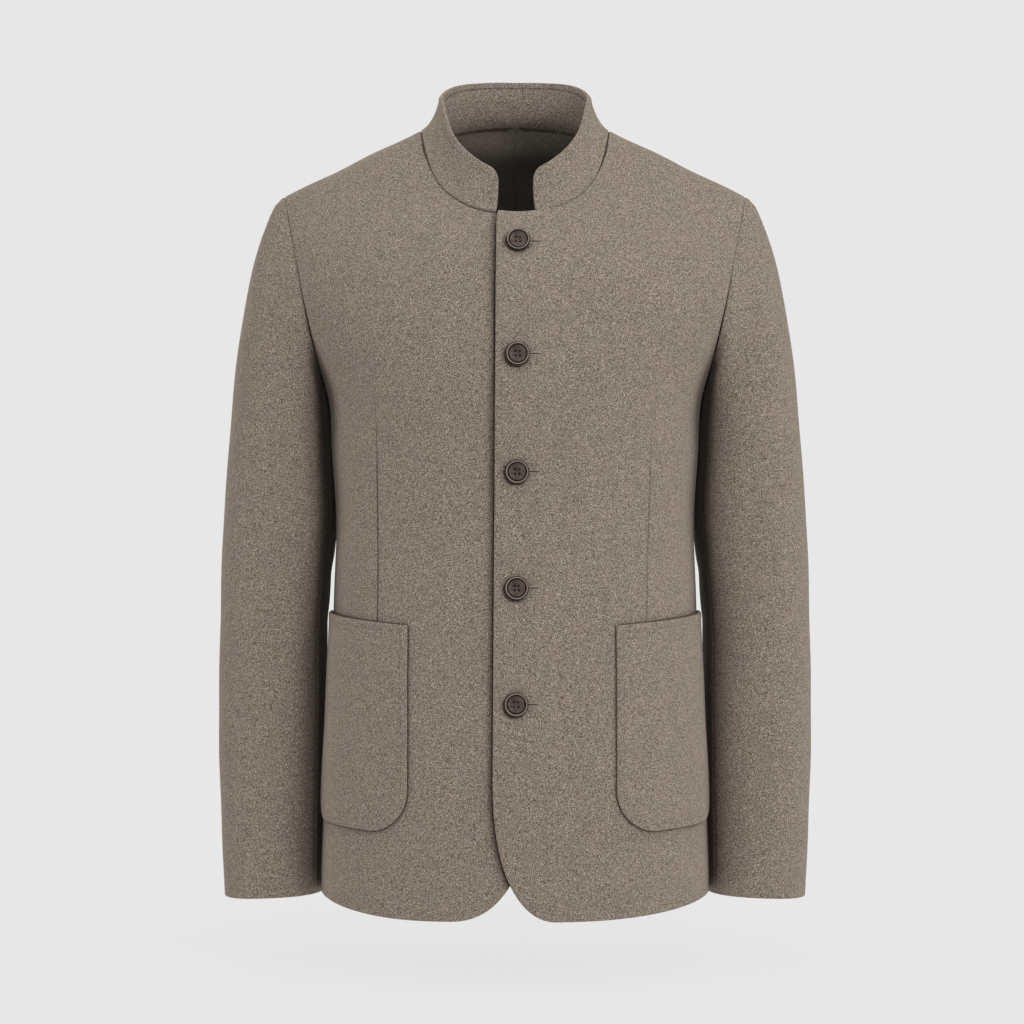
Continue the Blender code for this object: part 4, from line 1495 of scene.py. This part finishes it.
def makeButton(number, across, height):
    name = f"button{number}Disc"
    work = bmesh.new()
    line = [work.verts.new((radius, 0.0, up)) for radius, up in button["profile"]]
    edges = [work.edges.new(ends) for ends in zip(line, line[1:])]
    bmesh.ops.spin(work, geom=line + edges, axis=(0, 0, 1), cent=(0, 0, 0), steps=button["sides"],
                   angle=2 * np.pi, use_merge=True)
    bmesh.ops.remove_doubles(work, verts=work.verts[:], dist=1e-6)
    bmesh.ops.recalc_face_normals(work, faces=work.faces[:])
    piece = fromWork(name, work, hornLook)

    work = bmesh.new()
    for x in (-1, 1):
        for y in (-1, 1):
            made = bmesh.ops.create_cone(
                work, cap_ends=True, segments=button["holeSides"], radius1=button["hole"],
                radius2=button["hole"], depth=4 * button["thick"],
            )
            shift = (x * button["holeSpacing"], y * button["holeSpacing"], 0)
            bmesh.ops.translate(work, verts=made["verts"], vec=shift)
    drill = fromWork(f"drill{number}", work)
    cut = piece.modifiers.new("holes", "BOOLEAN")
    cut.object = drill
    cut.operation = "DIFFERENCE"
    cut.solver = "EXACT"
    bpy.context.view_layer.update()
    seen = piece.evaluated_get(bpy.context.evaluated_depsgraph_get())
    piece.data = bpy.data.meshes.new_from_object(seen)
    piece.data.name = name
    piece.modifiers.clear()
    bpy.data.objects.remove(drill, do_unlink=True)
    piece.data.shade_smooth()
    piece.data.set_sharp_from_angle(angle=button["sharpFrom"])

    spot, out, tilt = buttonSpot(across, height)
    back = (tilt - quarterTurn) * button["level"]
    tilt = tilt - back
    spot = spot + out * button["radius"] * abs(math.sin(back)) * button["levelLift"]
    out = np.array([0.0, -math.sin(tilt), math.cos(tilt)])
    piece.location = spot
    piece.rotation_euler = (tilt, 0.0, 0.0)
    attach(piece, "root")
    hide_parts(f"button_{number}")

    up = np.cross(out, sideways)
    gap = button["holeSpacing"]
    centres = np.array([spot + sideways * x * gap + out * button["threadUp"] for x in (-1, 1)])
    sewn = threadBars(f"button{number}Thread", centres, np.array([up, up]), np.array([out, out]),
                      2 * gap + button["threadOver"], *button["threadSize"], darkThread, button["threadBow"])


def makeButtonhole(number, across, height):
    place = frontSurface(fronts["left"])
    begin = across + buttonhole["back"]
    end = across + buttonhole["front"]

    def onCloth(x, rise):
        spot = bodyPlace(x, height + rise, "front")
        return place(spot), bodyNormal(spot, "front")

    at = np.arange(begin, end, buttonhole["pitch"])
    centres = []
    outs = []
    for rise in (1, -1):
        points, normals = onCloth(at, rise * (buttonhole["slit"] / 2 + buttonhole["reach"] / 2))
        relief = sway(points)[:, None]
        centres.append(points + normals * (relief + buttonhole["lipUp"]))
        outs.append(normals)
    centres = np.concatenate(centres)
    outs = np.concatenate(outs)
    alongs = np.tile(upright, (len(centres), 1))
    lips = threadBars(f"buttonhole{number}Lips", centres, alongs, outs, buttonhole["reach"],
                      *buttonhole["lipSize"], lipThread, buttonhole["lipBow"])
    # the slit: a near-black bar on the cloth, painted as the shade in the buttonhole's opening
    points, normals = onCloth(np.array([(begin + end) / 2]), 0.0)
    relief = sway(points)[:, None]
    slit = threadBars(f"buttonhole{number}Slit", points + normals * relief, sideways[None], normals,
                      end - begin, buttonhole["slit"], buttonhole["slitHeight"], slitShadeAndThreadLook)
    return [lips, slit]


for number, (across, height) in enumerate(button["places"], 1):
    makeButton(number, across, height)
    stitched["frontLeftPanel"] += makeButtonhole(number, across, height)
print("buttons sewn on")

# Painted shade, put into the wool's colour: where cloth faces cloth across a gap, and painted shadow lines
# where one piece lies on another

shadow = {
    "reach": 0.075,
    "rays": 36,
    "rayTurn": 2.39996,  # the golden angle
    "rayStart": 0.001,
    # a way that no normal follows, to set the rays out from
    "rayFrom": (0.3, 0.2, 1.0),
    "ringPoints": 97,
    "smoothings": 4,
    "sideWithin": 0.012,
    # the band across, and the height below which, the painted gap shade is worked out
    "across": (0.13, 0.25),
    "below": -0.08,
    # lowest height of the over front's edge that draws the painted lap shadow line
    "lapDown": -0.722,
    # height from which the painted lap shadow line fades towards the neck, over how far, and by how much
    "lapFade": (-0.101, 0.010, 0.0022),
    # blocked share at which the painted shade begins and is full
    "body": (0.02, 0.50),
    "sleeve": (0.42, 0.84),
    "sleeveLow": (0.60, 0.94),
    "lowFrom": -0.42,
    "lowTo": -0.60,
}


def blockedShare(points, normals, tree):
    # how much of the air in front of each point other cloth takes up
    turn = np.arange(shadow["rays"]) * shadow["rayTurn"]
    wide = np.sqrt((np.arange(shadow["rays"]) + 0.5) / shadow["rays"])
    fan = stacked(wide * np.cos(turn), wide * np.sin(turn), np.sqrt(1 - wide**2))
    aside = unit(np.cross(normals, np.array(shadow["rayFrom"])))
    frames = np.stack([aside, np.cross(normals, aside), normals], 1)
    ways = np.einsum("rk,nkc->nrc", fan, frames)
    starts = points + normals * shadow["rayStart"]
    blocked = np.zeros(len(points))
    for n, start in enumerate(starts.tolist()):
        start = Vector(start)
        for way in ways[n].tolist():
            far = tree.ray_cast(start, Vector(way), shadow["reach"])[3]
            if far is not None:
                blocked[n] += 1 - (far / shadow["reach"]) ** 2
    return blocked / shadow["rays"]


def lineDistance(points, normals, line):
    # distance from a line, less than nought on its left as seen from outside
    far, which = nearest(points, line)
    ahead = np.gradient(line, axis=0)[which]
    side = (unit(np.cross(ahead, normals)) * (points - line[which])).sum(axis=1)
    return np.where(far < shadow["sideWithin"], side, far * np.sign(side))


def shadePanel(panel, tree, spans, laps, contacts):
    # painted shade marks: x darkens where other cloth is near, y and z are nearness to painted shadow lines
    points = panel["points"]
    marks = np.zeros((len(points), 3))
    least, most = shadow["across"]
    across = np.abs(points[:, 0])
    near = (across > least) & (across < most) & (points[:, 2] < shadow["below"])
    marks[near, 0] = blockedShare(points[near], panel["normals"][near], tree)
    for turn in range(shadow["smoothings"]):
        total = np.zeros(len(points))
        counts = np.zeros(len(points))
        around = marks[panel["faces"], 0].mean(axis=1)
        for corner in range(4):
            np.add.at(total, panel["faces"][:, corner], around)
            np.add.at(counts, panel["faces"][:, corner], 1)
        marks[:, 0] = total / counts
    low = rising(points[:, 2], shadow["lowFrom"], shadow["lowTo"])
    begins, full = (between(high, deep, low) for high, deep in zip(*spans))
    marks[:, 0] = rising(marks[:, 0], begins, full)
    limit = wool["shadowLineLimit"]
    for k, lines in ((1, laps), (2, contacts)):
        away = [lineDistance(points, panel["normals"], line) for line in lines]
        if away:
            marks[:, k] = limit - np.clip(np.min(away, axis=0), -limit, limit)
    if laps:
        height, span, most = shadow["lapFade"]
        marks[:, 1] -= most * ease((points[:, 2] - height) / span)
    mesh = panel["piece"].data
    onMesh = np.zeros((len(mesh.vertices), 3))
    onMesh[: len(points)] = marks
    writeMarks(mesh, "shade", onMesh)


verts = []
faces = []
for name in ("frontLeftPanel", "frontRightPanel", "backLeftPanel", "backRightPanel", "sleeveTopLeft",
             "sleeveTopRight", "sleeveUnderLeft", "sleeveUnderRight"):
    faces += (panels[name]["faces"] + len(verts)).tolist()
    verts += panels[name]["points"].tolist()
gapTree = BVHTree.FromPolygons(verts, faces)
turn = np.linspace(0, 2 * np.pi, shadow["ringPoints"])
# rings round the buttons along which painted cast shadows are drawn
buttonShadowRings = []
for across, height in button["places"]:
    ring = stacked(np.cos(turn), 0.0, np.sin(turn)) * button["radius"]
    buttonShadowRings.append(buttonSpot(across, height)[0] + np.array(button["shadowShift"]) + ring)
# painted shadow lines: on the under front along the over front's edge, and round the pockets and buttons
frontRim = panels["frontLeftPanel"]["rim"]
paintedShadowLines = {
    "frontLeftPanel": ([], [panels["pocketLeftPatch"]["rim"]] + buttonShadowRings),
    "frontRightPanel": (
        [frontRim[frontRim[:, 2] > shadow["lapDown"]]],
        [panels["pocketRightPatch"]["rim"][::-1]],
    ),
}
for name, panel in panels.items():
    laps, contacts = paintedShadowLines.get(name, ([], []))
    kinds = ("sleeve", "sleeveLow") if "sleeve" in name else ("body", "body")
    spans = [shadow[kind] for kind in kinds]
    shadePanel(panel, gapTree, spans, laps, contacts)
print("gaps shaded")

# Studio: pale floor that fades into a plain backdrop, large soft lights, and the camera

studio = {
    "cameraPlace": (-0.0029, -2.6, -0.366),
    "lens": 95.2,
    "sensor": 36.0,
    "front": (0.42, 0.42, 0.42, 1.0),
    "round": (0.98, 0.98, 0.98, 1.0),
    "rear": (0.20, 0.20, 0.20, 1.0),
    "backdrop": (0.80, 0.80, 0.80, 1.0),
    # how far round to the camera's own way each begins, and over how much it fades in
    "roundFade": (-0.90, 0.25),
    "rearFade": (0.05, 0.45),
    "backdropFade": (0.945, 0.02),
    "floorHeight": -0.800,
    "floorRadius": 1.15,
    "floorSides": 96,
    "floorFade": 0.75,
    "floorColour": (0.90, 0.90, 0.90, 1.0),
    "floorPale": (0.909, 0.909, 0.909, 1.0),
    "floorGrit": 60.0,
    "floorRoughness": 0.9,
    "floorShare": 0.06,
    # place, aimed at, size, watts
    "lights": {
        "keyRight": ((1.9, -2.4, 0.8), (0.0, 0.0, -0.30), 1.2, 34.0),
        "topSoft": ((0.0, -1.2, 1.8), (0.0, 0.0, -0.20), 1.6, 6.5),
        "backSoft": ((-0.9, 2.6, 1.1), (0.0, 0.0, -0.35), 1.8, 26.0),
    },
}


def makeFloor():
    look = Look("paleFloor")
    at = look.add("ShaderNodeTexCoord", {}, {}).outputs["Object"]
    away = look.amount(look.add("ShaderNodeVectorMath", {"operation": "LENGTH"}, {0: at}), "Value")
    grit = look.noise(look.place(), studio["floorGrit"])
    radius = studio["floorRadius"]
    fade = look.ease((radius - away) / (radius * studio["floorFade"]))
    paint = look.done({
        "Base Color": look.mix(grit, studio["floorColour"], studio["floorPale"]),
        "Roughness": studio["floorRoughness"],
        "Specular IOR Level": 0.0,
        "Alpha": fade * studio["floorShare"],
    })
    work = bmesh.new()
    bmesh.ops.create_circle(work, cap_ends=True, segments=studio["floorSides"], radius=radius)
    floor = fromWork("floor", work, paint)
    floor.location = (0.0, 0.0, studio["floorHeight"])


def aimed(item, place, target):
    item.location = place
    way = np.array(target, float) - np.array(place, float)
    flat = math.hypot(way[0], way[1])
    item.rotation_euler = (math.atan2(flat, -way[2]), 0.0, math.atan2(-way[0], way[1]))


def makeWorld():
    # pale to both sides and where the camera looks, dimmer behind the camera and at the rear
    look = Look("paleStudio", "worlds", "Background")
    way = look.add("ShaderNodeTexCoord", {}, {}).outputs["Generated"]
    facing = look.add("ShaderNodeVectorMath", {"operation": "DOT_PRODUCT"}, {0: way, 1: (0.0, 1.0, 0.0)})
    facing = look.amount(facing, "Value")
    colour = studio["front"]
    for name in ("round", "rear", "backdrop"):
        begins, span = studio[name + "Fade"]
        colour = look.mix(look.ease((facing - begins) / span), colour, studio[name])
    return look.done({"Color": colour})


makeFloor()
scene.world = makeWorld()
for name, (place, target, size, watts) in studio["lights"].items():
    lamp = bpy.data.lights.new(name, "AREA")
    lamp.shape = "DISK"
    lamp.size = size
    lamp.energy = watts
    aimed(linked(name, lamp), place, target)
scene.view_settings.view_transform = "Standard"
camera = bpy.data.cameras.new("camera")
camera.lens = studio["lens"]
camera.sensor_width = studio["sensor"]
cameraItem = linked("camera", camera)
cameraItem.location = studio["cameraPlace"]
cameraItem.rotation_euler = (quarterTurn, 0.0, 0.0)
scene.camera = cameraItem
print("studio lit")
